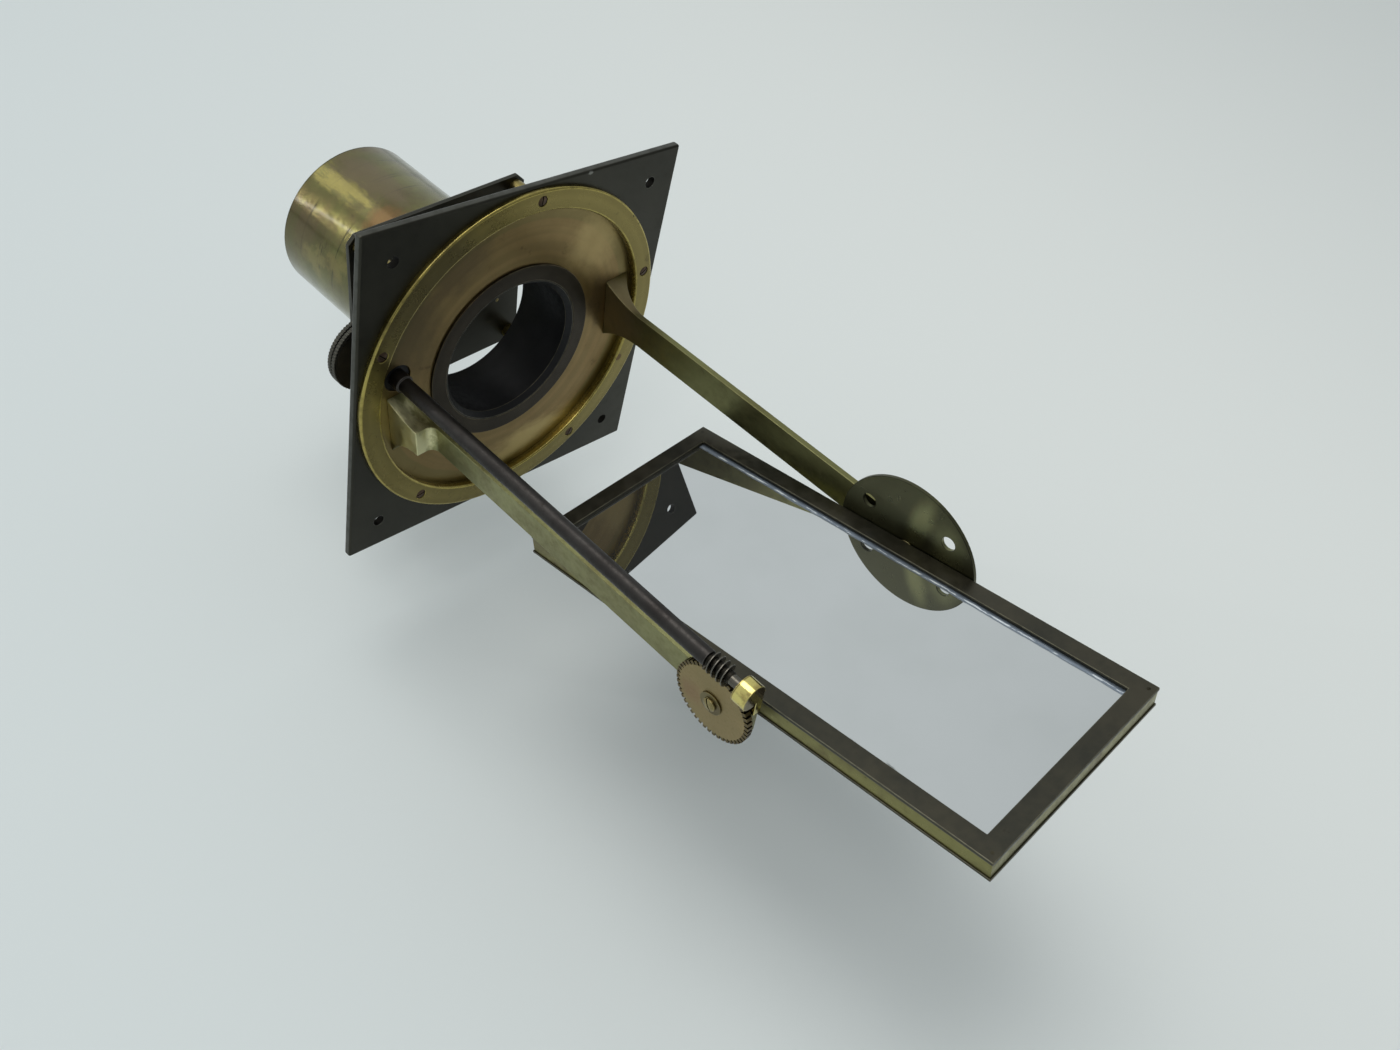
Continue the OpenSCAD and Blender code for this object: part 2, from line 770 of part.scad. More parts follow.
module stage_screws() {
    color(old_brass) at_pillars() mirror([0, 1, 0])
        screw_y(-stage_back - stage_screw_head_h, stage_screw_head_r, stage_screw_head_h,
            stage_screw_r, stage_screw_len - stage_back, 60);
}

module at_flange_screws() {
    for (a = [0 : 120 : 240]) {
        stage_turned() rotate([0, -90 - a, 0]) translate([flange_circle_r, 0, 0]) children();
    }
}

module tube_flange() {
    color(old_brass) difference() {
        spun_y() polygon([
            [tube_r + seat_fit, stage_back],
            [flange_r, stage_back],
            [flange_r, stage_back + flange_t - flange_bevel],
            [flange_r - flange_bevel, stage_back + flange_t],
            [tube_r + seat_fit, stage_back + flange_t]
        ]);
        at_flange_screws() bar_y(flange_screw_r + seat_fit, stage_back - cut, stage_back + flange_t + cut);
    }
}

module flange_screws() {
    color(old_brass) at_flange_screws() mirror([0, 1, 0])
        screw_y(-stage_back - flange_t - flange_screw_head_h, flange_screw_head_r, flange_screw_head_h,
            flange_screw_r, -stage_y - 0.1, 15);
}

module rear_tube() {
    color(brass) spun_y() polygon([
        [tube_hole_r + cell_seat_depth, stage_back],
        [tube_r, stage_back],
        [tube_r, tube_end - tube_edge],
        [tube_r - tube_edge, tube_end],
        [tube_hole_r + tube_edge, tube_end],
        [tube_hole_r, tube_end - tube_edge],
        [tube_hole_r, cell_end + end_play],
        [tube_hole_r + cell_seat_depth, cell_end + end_play]
    ]);
}

module condenser_cell() {
    color(blackened) difference() {
        bar_y(cell_r, cell_front, cell_end);
        bar_y(cell_hole_r, cell_front - cut, cell_end + cut);
        bar_y(lens_pocket_r, cell_front + cell_shoulder_t, cell_end + cut);
    }
}

// A lens with two equal bulging faces
module condenser_lens() {
    color([0.7, 0.8, 0.8, 0.5]) translate([0, lens_mid, 0]) spun_y() intersection() {
        translate([0, lens_face_r - lens_t / 2]) circle(lens_face_r, $fn = 360);
        translate([0, lens_t / 2 - lens_face_r]) circle(lens_face_r, $fn = 360);
        translate([0, -lens_t]) square([lens_r, 2 * lens_t]);
    }
}

module cell_ring() {
    start = lens_mid + lens_t / 2 - lens_sag(lens_pocket_r - cell_ring_w) + lens_seat;
    color(blackened) difference() {
        bar_y(lens_pocket_r - seat_fit, start, start + cell_ring_t);
        bar_y(lens_pocket_r - cell_ring_w, start - cut, start + cell_ring_t + cut);
    }
}

module worm_rod() {
    rod_front = pivot_y + worm_len / 2;
    color(rod_brown) at_rod() {
        difference() {
            union() {
                bar_y(rod_r, rod_front, knob_y);
                bar_y(rod_collar_r, disc_recess - rod_collar_len, bush_face - end_play);
                bar_y(knob_tenon_r, knob_y - 0.1, rod_back - knob_tenon_short);
            }
            bar_y(knob_screw_r + seat_fit, rod_back - knob_screw_len - knob_screw_play, rod_back);
            bar_y(journal_r + seat_fit, rod_front - cut, rod_front + journal_sink + 0.1);
        }
    }
}

// The thread's section a given number of turns along the worm: it turns around the rod as it climbs
function thread_section(turn) =
    let (a = 360 * (turn + 0.5))
    [
        for (p = [
            [worm_root_r - thread_sink, -tooth_root_w / 2],
            [worm_r, -tooth_tip_w / 2],
            [worm_r, tooth_tip_w / 2],
            [worm_root_r - thread_sink, tooth_root_w / 2]
        ]) [p[0] * sin(a), turn * worm_pitch + p[1], p[0] * cos(a)]
    ];

// One short stretch of thread between two sections
module thread_stretch(from, to) {
    hull() polyhedron(
        points = concat(thread_section(from), thread_section(to)),
        faces = [[0, 1, 2, 3], [7, 6, 5, 4], [0, 4, 5, 1], [1, 5, 6, 2], [2, 6, 7, 3], [3, 7, 4, 0]]
    );
}

module worm() {
    steps = ceil(thread_turns * worm_steps);
    color(rod_brown) at_rod() translate([0, pivot_y, 0]) {
        bar_y(worm_root_r, -worm_len / 2, worm_len / 2 - 0.05, $fn = 36);
        bar_y(journal_r, journal_end - pivot_y, worm_len / 2 + journal_sink, $fn = 36);
        for (i = [0 : steps - 1]) {
            thread_stretch(thread_turns * (i / steps - 0.5), thread_turns * ((i + 1) / steps - 0.5));
        }
    }
}

// A rim of fine straight ribs
module ribbed(r, rib_h, count) {
    polygon([
        for (i = [0 : count - 1]) each [
            [r * cos(360 * i / count), r * sin(360 * i / count)],
            [(r - rib_h) * cos(360 * (i + 0.5) / count), (r - rib_h) * sin(360 * (i + 0.5) / count)]
        ]
    ]);
}

module tilt_knob() {
    front_rim = knob_y + knob_edge;
    back_rim = rod_back - knob_edge;
    color(blackened) at_rod() difference() {
        union() {
            bar_y(knob_r - 1, knob_y, front_rim + 0.01);
            slab_y(front_rim, front_rim + knob_rim_w) ribbed(knob_r, knob_rib_h, knob_ribs);
            bar_y(knob_groove_r, front_rim, back_rim);
            slab_y(back_rim - knob_rim_w, back_rim) ribbed(knob_r, knob_rib_h, knob_ribs);
            bar_y(knob_r - 1, back_rim - 0.01, rod_back);
        }
        bar_y(knob_tenon_r + seat_fit, knob_y - cut, rod_back + cut);
    }
}

module knob_screw() {
    color(old_brass) at_rod() mirror([0, 1, 0])
        screw_y(-rod_back - knob_screw_head_h, knob_screw_head_r, knob_screw_head_h, knob_screw_r,
            knob_screw_len - rod_back, 40);
}

// A frame-shaped outline around the mirror: the middle is open when a bar width is given
module frame_outline(margin, bar) {
    w = frame_w + 2 * margin;
    l = frame_len + 2 * margin;
    translate([frame_offset, frame_shift]) difference() {
        square([w, l], center = true);
        if (bar > 0) {
            square([w - 2 * bar, l - 2 * bar], center = true);
        }
    }
}

module at_pins() {
    for (sx = [-1, 1], sy = [-1, 1]) {
        translate([frame_offset + sx * (frame_w / 2 - pin_inset_x),
            frame_shift + sy * (frame_len / 2 - pin_inset_y), 0]) children();
    }
}

module mirror_bezel() {
    color(bronzed) tilted() difference() {
        translate([0, 0, bezel_bottom]) linear_extrude(bezel_t) frame_outline(0, bezel_w);
        at_pins() translate([0, 0, bezel_bottom - cut]) cylinder(r = pin_r + seat_fit, h = bezel_t + 2 * cut);
    }
}

module mirror_rim() {
    color(brass) tilted() difference() {
        translate([0, 0, back_top]) linear_extrude(bezel_bottom - back_top)
            frame_outline(-rim_inset, rim_wall);
        at_pins() translate([0, 0, bezel_bottom - pin_len - 0.1])
            cylinder(r = pin_r + seat_fit, h = pin_len + 0.1 + cut);
        bar_x(tenon_r + seat_fit, rim_left - cut, rim_left + tenon_len + 0.1);
        bar_x(tenon_r + seat_fit, rim_right - tenon_len - 0.1, rim_right + cut);
        for (s = [-1, 1]) {
            translate([0, s * disc_screw_spread, 0])
                bar_x(disc_screw_r + seat_fit, rim_right - tenon_len - 0.1, rim_right + cut);
        }
    }
}

module mirror_back() {
    color(bronzed) tilted() translate([0, 0, frame_bottom])
        linear_extrude(back_t) frame_outline(back_proud, 0);
}

module mirror_glass() {
    color([0.75, 0.8, 0.82]) tilted()
        translate([0, 0, glass_bottom]) linear_extrude(glass_t) frame_outline(-glass_side, 0);
}

module backing_board() {
    color([0.45, 0.33, 0.2]) tilted() translate([0, 0, back_top])
        linear_extrude(glass_bottom - back_top) frame_outline(-glass_side, 0);
}

module bezel_pins() {
    color(old_brass) tilted() at_pins() translate([0, 0, bezel_bottom - pin_len])
        cylinder(r = pin_r, h = pin_len + bezel_t);
}

module mirror_spindle() {
    color(brass) tilted() difference() {
        union() {
            bar_x(tenon_r, rim_left - 0.1, rim_left + tenon_len);
            bar_x(spindle_flange_r, -left_arm_in + end_play, frame_left - seat_fit);
            bar_x(spindle_neck_r, frame_left - cut, rim_left);
            bar_x(pivot_r, -wheel_out, -left_arm_in + end_play + 0.1);
        }
        bar_x(pivot_screw_r + seat_fit, -wheel_out - cut, -wheel_out + pivot_screw_len + pivot_screw_play);
    }
}

// One gap between two teeth, at the wheel's top: it slants with the worm's thread
module tooth_gap() {
    gap_root = worm_pitch * wheel_root_r / wheel_pitch_r - tooth_root_w;
    gap_tip = worm_pitch * wheel_r / wheel_pitch_r - tooth_tip_w;
    grow = (gap_tip - gap_root) / (wheel_r - wheel_root_r);
    rotate([0, 0, -lead_angle]) translate([-wheel_t, 0, 0]) rotate([90, 0, 90]) linear_extrude(2 * wheel_t)
        polygon([
            [-gap_root / 2, wheel_root_r],
            [gap_root / 2, wheel_root_r],
            [gap_tip / 2 + grow / 2 * cut, wheel_r + cut],
            [-gap_tip / 2 - grow / 2 * cut, wheel_r + cut]
        ]);
}

module worm_wheel() {
    wheel_mid = -(wheel_in + wheel_out) / 2;
    color(brass) at_pivot() translate([wheel_mid, 0, 0]) difference() {
        bar_x(wheel_r, -wheel_t / 2, wheel_t / 2);
        for (i = [0 : wheel_teeth - 1]) {
            rotate([360 * i / wheel_teeth, 0, 0]) tooth_gap();
        }
        bar_x(pivot_r + seat_fit, -wheel_t, wheel_t);
    }
}

module wheel_washer() {
    color(brass) tilted() difference() {
        bar_x(washer_r, -wheel_out - washer_t, -wheel_out);
        bar_x(pivot_screw_r + seat_fit, -wheel_out - washer_t - cut, -wheel_out + cut);
    }
}

// A screw along X whose head faces -X: the head's outer face is at x = 0
module screw_x(head_r, head_h, shank_r, shank_len, slot_angle) {
    rotate([0, 0, -90]) screw_y(0, head_r, head_h, shank_r, head_h + shank_len, slot_angle);
}

module wheel_screw() {
    color(brass) tilted() translate([-wheel_out - washer_t - pivot_screw_head_h, 0, 0])
        screw_x(pivot_screw_head_r, pivot_screw_head_h, pivot_screw_r, washer_t + pivot_screw_len, 30);
}

module right_stub() {
    color(brass) tilted() difference() {
        union() {
            bar_x(tenon_r, rim_right - tenon_len, rim_right + 0.1);
            bar_x(spindle_neck_r, rim_right, steady_in);
            bar_x(spindle_flange_r, frame_right + seat_fit, steady_in);
            bar_x(pivot_r, steady_in - 0.1, right_end);
        }
        bar_x(pivot_screw_r + seat_fit, right_end - pivot_screw_len - pivot_screw_play, right_end + cut);
    }
}

module steady_disc() {
    color(brass) tilted() difference() {
        bar_x(steady_r, steady_in, steady_out);
        bar_x(pivot_r + seat_fit, steady_in - cut, steady_out + cut);
        for (sy = [-1, 1], sz = [-1, 1]) {
            rotate([sz * steady_hole_angle, 0, 0]) translate([0, sy * steady_hole_circle_r, 0])
                bar_x(steady_hole_r, steady_in - cut, steady_out + cut);
        }
        for (s = [-1, 1]) {
            translate([0, s * disc_screw_spread, 0])
                bar_x(disc_screw_r + seat_fit, steady_in - cut, steady_out + cut);
        }
    }
}

module disc_screws() {
    color(old_brass) tilted() for (s = [-1, 1]) {
        translate([steady_out + disc_screw_head_h, s * disc_screw_spread, 0]) mirror([1, 0, 0])
            screw_x(disc_screw_head_r, disc_screw_head_h, disc_screw_r,
                steady_out - rim_right + tenon_len - 0.2, 70);
    }
}

module disc_spacer() {
    color(brass) tilted() difference() {
        bar_x(spacer_r, steady_out, right_arm_in - end_play);
        bar_x(pivot_r + seat_fit, steady_out - cut, right_arm_in + cut);
    }
}

module pivot_screw() {
    color(brass) tilted() translate([right_end + pivot_screw_head_h, 0, 0]) mirror([1, 0, 0])
        screw_x(washer_r, pivot_screw_head_h, pivot_screw_r, pivot_screw_len, 10);
}

window_plate();
retaining_ring();
ring_screws();
turning_disc();
aperture_collar();
short_tube();
left_arm();
right_arm();
arm_screws();
rod_bush();
rod_end_bearing();
bearing_screw();
stage_pillars();
stage_plate();
stage_screws();
tube_flange();
flange_screws();
rear_tube();
condenser_cell();
condenser_lens();
cell_ring();
worm_rod();
worm();
tilt_knob();
knob_screw();
mirror_bezel();
mirror_rim();
mirror_back();
mirror_glass();
backing_board();
bezel_pins();
mirror_spindle();
worm_wheel();
wheel_washer();
wheel_screw();
right_stub();
steady_disc();
disc_screws();
disc_spacer();
pivot_screw();
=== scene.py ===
"""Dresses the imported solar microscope: bevelled pieces, finishes, soft studio light and the camera.

Lengths are millimetres while a piece is being shaped, and metres once it is placed.
"""
from __future__ import annotations

import logging
import math
from dataclasses import dataclass
from enum import Enum
from functools import partial
from typing import Callable, Iterable, Optional, Sequence

import bmesh
import bpy
from mathutils import Euler, Matrix, Vector


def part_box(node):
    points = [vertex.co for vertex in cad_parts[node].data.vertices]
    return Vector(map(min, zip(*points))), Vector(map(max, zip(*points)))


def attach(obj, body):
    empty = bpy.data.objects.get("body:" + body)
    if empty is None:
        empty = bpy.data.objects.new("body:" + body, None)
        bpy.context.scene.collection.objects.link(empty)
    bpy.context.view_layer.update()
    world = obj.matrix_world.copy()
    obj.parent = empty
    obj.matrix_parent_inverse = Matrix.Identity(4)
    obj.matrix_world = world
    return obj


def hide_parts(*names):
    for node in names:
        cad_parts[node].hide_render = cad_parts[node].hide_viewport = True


LOG = logging.getLogger("solar_microscope")

MM = 0.001
SUNWARD = Matrix.Rotation(math.pi / 2, 4, "X")
ROOMWARD = Matrix.Rotation(-math.pi / 2, 4, "X")
RIGHTWARD = Matrix.Rotation(math.pi / 2, 4, "Y")
LEFTWARD = Matrix.Rotation(-math.pi / 2, 4, "Y")

# Millimetres: margins for picking what lies on a plane or on a radius, and how close points are merged.
HAIR = 0.01
NEAR = 0.1
WELD = 0.002

Colour = tuple[float, float, float]
Triple = tuple[float, float, float]
Point = tuple[float, float]
Vert = bmesh.types.BMVert
Edge = bmesh.types.BMEdge
Face = bmesh.types.BMFace
Socket = bpy.types.NodeSocket
Sockets = dict[str, Socket]


class Marks(Enum):
    """What a tool left on a surface."""

    PLAIN = "plain"
    TURNED = "turned"
    DRAWN = "drawn"
    ROLLED = "rolled"


class Body(Enum):
    """The bodies that move on their own."""

    PLATE = "plate"
    TURNTABLE = "turntable"
    ROD = "tilt_rod"
    MIRROR = "mirror"


@dataclass(frozen=True)
class Stance:
    """How the instrument stands: the disc's turn, the mirror's tilt, the pivot and the tilt rod."""

    turn: float = 8.3
    tilt: float = 11.6
    pivot: Triple = (0.0, -169.8, -3.3)
    rod: Triple = (-54.1, 0.0, 15.814)

    def turned(self) -> Matrix:
        """The disc's own frame."""
        return Matrix.Rotation(-math.radians(self.turn), 4, "Y")

    def at_rod(self) -> Matrix:
        """A frame on the tilt rod's axis."""
        return self.turned() @ Matrix.Translation(self.rod)

    def at_pivot(self) -> Matrix:
        """A frame on the pivot, before the mirror is tilted."""
        return self.turned() @ Matrix.Translation(self.pivot)

    def tilted(self) -> Matrix:
        """The mirror's own frame."""
        return self.at_pivot() @ Matrix.Rotation(-math.radians(self.tilt), 4, "X")

    def seats(self) -> dict[str, "Seat"]:
        """The frames that several pieces share, by name.

        Returns:
            The seats.
        """
        places = {"sun_face": SUNWARD, "disc": self.turned() @ SUNWARD, "tube": ROOMWARD,
                  "rod": self.at_rod() @ SUNWARD, "mirror": self.tilted(),
                  "mirror_rim": self.tilted() @ SUNWARD, "wheel": self.at_pivot() @ RIGHTWARD}
        return {key: Seat(key, place) for key, place in places.items()}


@dataclass(frozen=True)
class Seat:
    """A piece's own frame, in millimetres, and the name that the material laid out in it carries."""

    key: str
    place: Matrix

    def shifted(self, key: str, along: float) -> "Seat":
        """Another seat, further along this one's Z axis."""
        return Seat(key, self.place @ Matrix.Translation((0, 0, along)))


def add_object(name: str, data: bpy.types.ID) -> bpy.types.Object:
    """Adds an object to the scene.

    Args:
        name: Its name.
        data: Its mesh, lamp or camera.

    Returns:
        The object.
    """
    made = bpy.data.objects.new(name, data)
    bpy.context.scene.collection.objects.link(made)
    return made


def reach(vert: Vert) -> float:
    """A vertex's distance from the Z axis."""
    return vert.co.xy.length


def middle(face: Face) -> Vector:
    """A face's centre."""
    return face.calc_center_median()


def steep(face: Face, limit: float = 0.3) -> bool:
    """Whether a face stands upright, or leans by less than a limit."""
    return abs(face.normal.z) < limit


def ends(test: Callable[[Vert], bool]) -> Callable[[Edge], bool]:
    """Makes a test that an edge passes when both its ends pass the given one."""
    return lambda edge: all(test(vert) for vert in edge.verts)


def level(edge: Edge) -> bool:
    """Whether an edge's ends are equally high."""
    return abs(edge.verts[0].co.z - edge.verts[1].co.z) < HAIR


class Shape:
    """A mesh in the making, in millimetres, around its own Z axis."""

    def __init__(self) -> None:
        """Starts an empty mesh with a face mask for rubbed edges, painted sheen and painted shade."""
        self.bm = bmesh.new()
        self.worn = self.bm.faces.layers.float.new("worn")

    @classmethod
    def from_node(cls, node: str) -> "Shape":
        """Starts from a merged copy of a CAD node's mesh.

        Args:
            node: The CAD node's name.

        Returns:
            The shape, in millimetres, where the node is.
        """
        shape = cls().take(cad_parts[node].data)
        verts = shape.bm.verts
        bmesh.ops.scale(shape.bm, vec=Vector((1, 1, 1)) / MM, verts=verts)
        bmesh.ops.remove_doubles(shape.bm, verts=verts, dist=WELD)
        bmesh.ops.dissolve_limit(shape.bm, angle_limit=math.radians(0.6), verts=verts, edges=shape.bm.edges)
        return shape

    def take(self, mesh: bpy.types.Mesh) -> "Shape":
        """Adds a mesh and finds the face mask of rubbed edges, painted sheen and painted shade again.

        Args:
            mesh: The mesh.

        Returns:
            This shape.
        """
        self.bm.from_mesh(mesh)
        layers = self.bm.faces.layers.float
        self.worn = layers.get("worn") or layers.new("worn")
        return self

    def give(self, name: str) -> bpy.types.Mesh:
        """Makes a mesh of the shape and frees the shape.

        Args:
            name: The mesh's name.

        Returns:
            The mesh.
        """
        mesh = bpy.data.meshes.new(name)
        self.bm.to_mesh(mesh)
        self.bm.free()
        return mesh

    def chain(self, verts: list[Vert], closed: bool) -> list[Edge]:
        """Joins vertices in a row, and the last one to the first where the row is closed."""
        nexts = verts[1:] + verts[:1] if closed else verts[1:]
        return [self.bm.edges.new(pair) for pair in zip(verts, nexts)]

    def spin(self, geom: list, angle: float, steps: int, rise: float = 0.0, **options: bool) -> list:
        """Spins geometry around the axis.

        Args:
            geom: Vertices and edges.
            angle: The whole angle, in radians.
            steps: How many steps it takes.
            rise: How far each step rises.
            **options: Further options of the operator.

        Returns:
            What the last step made.
        """
        made = bmesh.ops.spin(self.bm, geom=geom, cent=(0, 0, 0), axis=(0, 0, 1), dvec=(0, 0, rise),
                              angle=angle, steps=steps, **options)
        return made["geom_last"]

    def circle(self, radius: float, steps: int = 96, centre: Point = (0.0, 0.0),
               z: float = 0.0) -> list[Edge]:
        """Adds a flat circle of edges.

        Args:
            radius: Its radius.
            steps: How many edges it has.
            centre: Its centre in the plane.
            z: Its height.

        Returns:
            The circle's edges.
        """
        made = bmesh.ops.create_circle(self.bm, cap_ends=False, radius=radius, segments=steps,
                                       matrix=Matrix.Translation((*centre, z)))
        return list({e for v in made["verts"] for e in v.link_edges})

    def outline(self, points: Iterable[Point], z: float = 0.0, closed: bool = True) -> list[Edge]:
        """Adds edges through a few points at one height."""
        return self.chain([self.bm.verts.new((x, y, z)) for x, y in points], closed)

    def rectangle(self, width: float, height: float, centre: Point = (0.0, 0.0),
                  z: float = 0.0) -> list[Edge]:
        """Adds the outline of a rectangle around a centre and returns its edges."""
        w, h, (cx, cy) = width / 2, height / 2, centre
        return self.outline([(cx - w, cy - h), (cx + w, cy - h), (cx + w, cy + h), (cx - w, cy + h)], z)

    def toothed(self, tooth: Sequence[Point], count: int, z: float = 0.0) -> list[Edge]:
        """Adds a closed outline of equal teeth around the axis.

        Args:
            tooth: One tooth's points, from its root to the next tooth's root, as radius and turns.
            count: How many teeth go round.
            z: The outline's height.

        Returns:
            The outline's edges.
        """
        before = set(self.bm.edges)
        polar = [(r * math.cos(2 * math.pi * t), r * math.sin(2 * math.pi * t)) for r, t in tooth]
        row = self.outline(polar, z, closed=False)
        self.spin(list({v for e in row for v in e.verts}) + row, 2 * math.pi * (count - 1) / count,
                  count - 1, use_duplicate=True)
        round_about = {v for e in self.bm.edges if e not in before for v in e.verts}
        bmesh.ops.remove_doubles(self.bm, verts=list(round_about), dist=WELD)
        return [e for e in self.bm.edges if e not in before]

    def fill(self, edges: Sequence[Edge], thickness: float) -> list[Vert]:
        """Fills flat loops, leaves the holes open, and gives the sheet a thickness along Z.

        Args:
            edges: The loops' edges.
            thickness: How far the sheet reaches from the loops, with its sign.

        Returns:
            The vertices of the new side.
        """
        filled = bmesh.ops.triangle_fill(self.bm, use_beauty=True, edges=list(edges), normal=(0, 0, 1))
        faces = [g for g in filled["geom"] if isinstance(g, Face)]
        raised = bmesh.ops.extrude_face_region(self.bm, geom=faces)
        verts = [g for g in raised["geom"] if isinstance(g, Vert)]
        bmesh.ops.translate(self.bm, vec=(0, 0, thickness), verts=verts)
        bmesh.ops.recalc_face_normals(self.bm, faces=self.bm.faces)
        return verts

    def lathe(self, profile: Sequence[Point], steps: int = 96, hollow: bool = True) -> "Shape":
        """Spins a profile around the axis.

        Args:
            profile: Points of radius and height.
            steps: How many steps a full turn takes.
            hollow: Whether the profile closes on itself; if not, it starts and ends on the axis.

        Returns:
            This shape.
        """
        points = [self.bm.verts.new((r, 0, z)) for r, z in profile]
        self.spin(points + self.chain(points, hollow), 2 * math.pi, steps, use_merge=True)
        bmesh.ops.remove_doubles(self.bm, verts=self.bm.verts, dist=WELD / 4)
        bmesh.ops.recalc_face_normals(self.bm, faces=self.bm.faces)
        return self

    def collar(self, inner: float, outer: float, low: float, high: float, steps: int = 160) -> "Shape":
        """Adds a plain ring between two radii and two heights and returns this shape."""
        return self.lathe([(inner, low), (outer, low), (outer, high), (inner, high)], steps)

    def thread(self, section: Sequence[Point], pitch: float, turns: float, start: float,
               per_turn: int = 48) -> "Shape":
        """Sweeps a closed section along a right-hand helix around the axis.

        Args:
            section: The section's points of radius and height.
            pitch: Rise in one turn.
            turns: How many turns the thread makes.
            start: Angle that the thread has at the middle of its length, in degrees.
            per_turn: Steps in one turn.

        Returns:
            This shape.
        """
        steps = round(turns * per_turn)
        foot = Matrix.Rotation(math.radians(start) - math.pi * turns, 4, "Z")
        points = [self.bm.verts.new(foot @ Vector((r, 0, z - turns * pitch / 2))) for r, z in section]
        row = self.chain(points, True)
        self.bm.faces.new(points)
        last = self.spin(points + row, 2 * math.pi * turns, steps, turns * pitch / steps)
        bmesh.ops.contextual_create(self.bm, geom=[g for g in last if isinstance(g, Vert)])
        bmesh.ops.recalc_face_normals(self.bm, faces=self.bm.faces)
        return self

    def block(self, size: Sequence[float], centre: Sequence[float]) -> "Shape":
        """Adds a box of a given size around a centre and returns this shape."""
        bmesh.ops.create_cube(self.bm, size=1.0,
                              matrix=Matrix.Translation(centre) @ Matrix.Diagonal((*size, 1.0)))
        return self

    def soften(self, width: float, steps: int = 2, sharper_than: float = 60.0,
               where: Optional[Callable[[Edge], bool]] = None) -> "Shape":
        """Rounds the sharp edges and marks the rounding as rubbed.

        Args:
            width: Width of the rounding.
            steps: How many faces it has across.
            sharper_than: Least angle between two faces that counts as sharp, in degrees.
            where: Picks among the sharp edges, if given.

        Returns:
            This shape.
        """
        limit = math.radians(sharper_than)
        edges = [e for e in self.bm.edges
                 if e.is_manifold and e.calc_face_angle(0.0) > limit and (where is None or where(e))]
        made = bmesh.ops.bevel(self.bm, geom=edges, offset=width, offset_type="OFFSET", segments=steps,
                               profile=0.5, affect="EDGES", clamp_overlap=False, material=-1)
        for face in made["faces"]:
            face[self.worn] = 1.0
        return self

    def mark(self, value: float, where: Callable[[Face], bool]) -> "Shape":
        """Marks chosen faces up to 1, for rubbing or a painted sheen, or down to -1, for painted shade.

        Args:
            value: The mark.
            where: Picks the faces.

        Returns:
            This shape.
        """
        self.bm.normal_update()
        for face in self.bm.faces:
            if where(face):
                face[self.worn] = value
        return self

    def place(self, matrix: Matrix) -> "Shape":
        """Moves the whole shape and returns it."""
        bmesh.ops.transform(self.bm, matrix=matrix, verts=self.bm.verts)
        return self

    def join(self, other: "Shape") -> "Shape":
        """Takes in another shape's mesh.

        Args:
            other: The shape to take in, which is freed.

        Returns:
            This shape.
        """
        carrier = other.give("carrier")
        self.take(carrier)
        bpy.data.meshes.remove(carrier)
        return self

    def carve(self, tool: "Shape") -> "Shape":
        """Cuts another shape out of this one.

        Args:
            tool: The cutting shape, which is freed.

        Returns:
            This shape.
        """
        work, knife = add_object("work", self.give("work")), add_object("tool", tool.give("tool"))
        cut = work.modifiers.new("cut", "BOOLEAN")
        cut.operation, cut.solver, cut.object = "DIFFERENCE", "EXACT", knife
        result = work.evaluated_get(bpy.context.evaluated_depsgraph_get())
        self.bm = bmesh.new()
        self.take(result.to_mesh())
        result.to_mesh_clear()
        for item in (work, knife):
            mesh = item.data
            bpy.data.objects.remove(item)
            bpy.data.meshes.remove(mesh)
        bmesh.ops.remove_doubles(self.bm, verts=self.bm.verts, dist=WELD / 2)
        return self


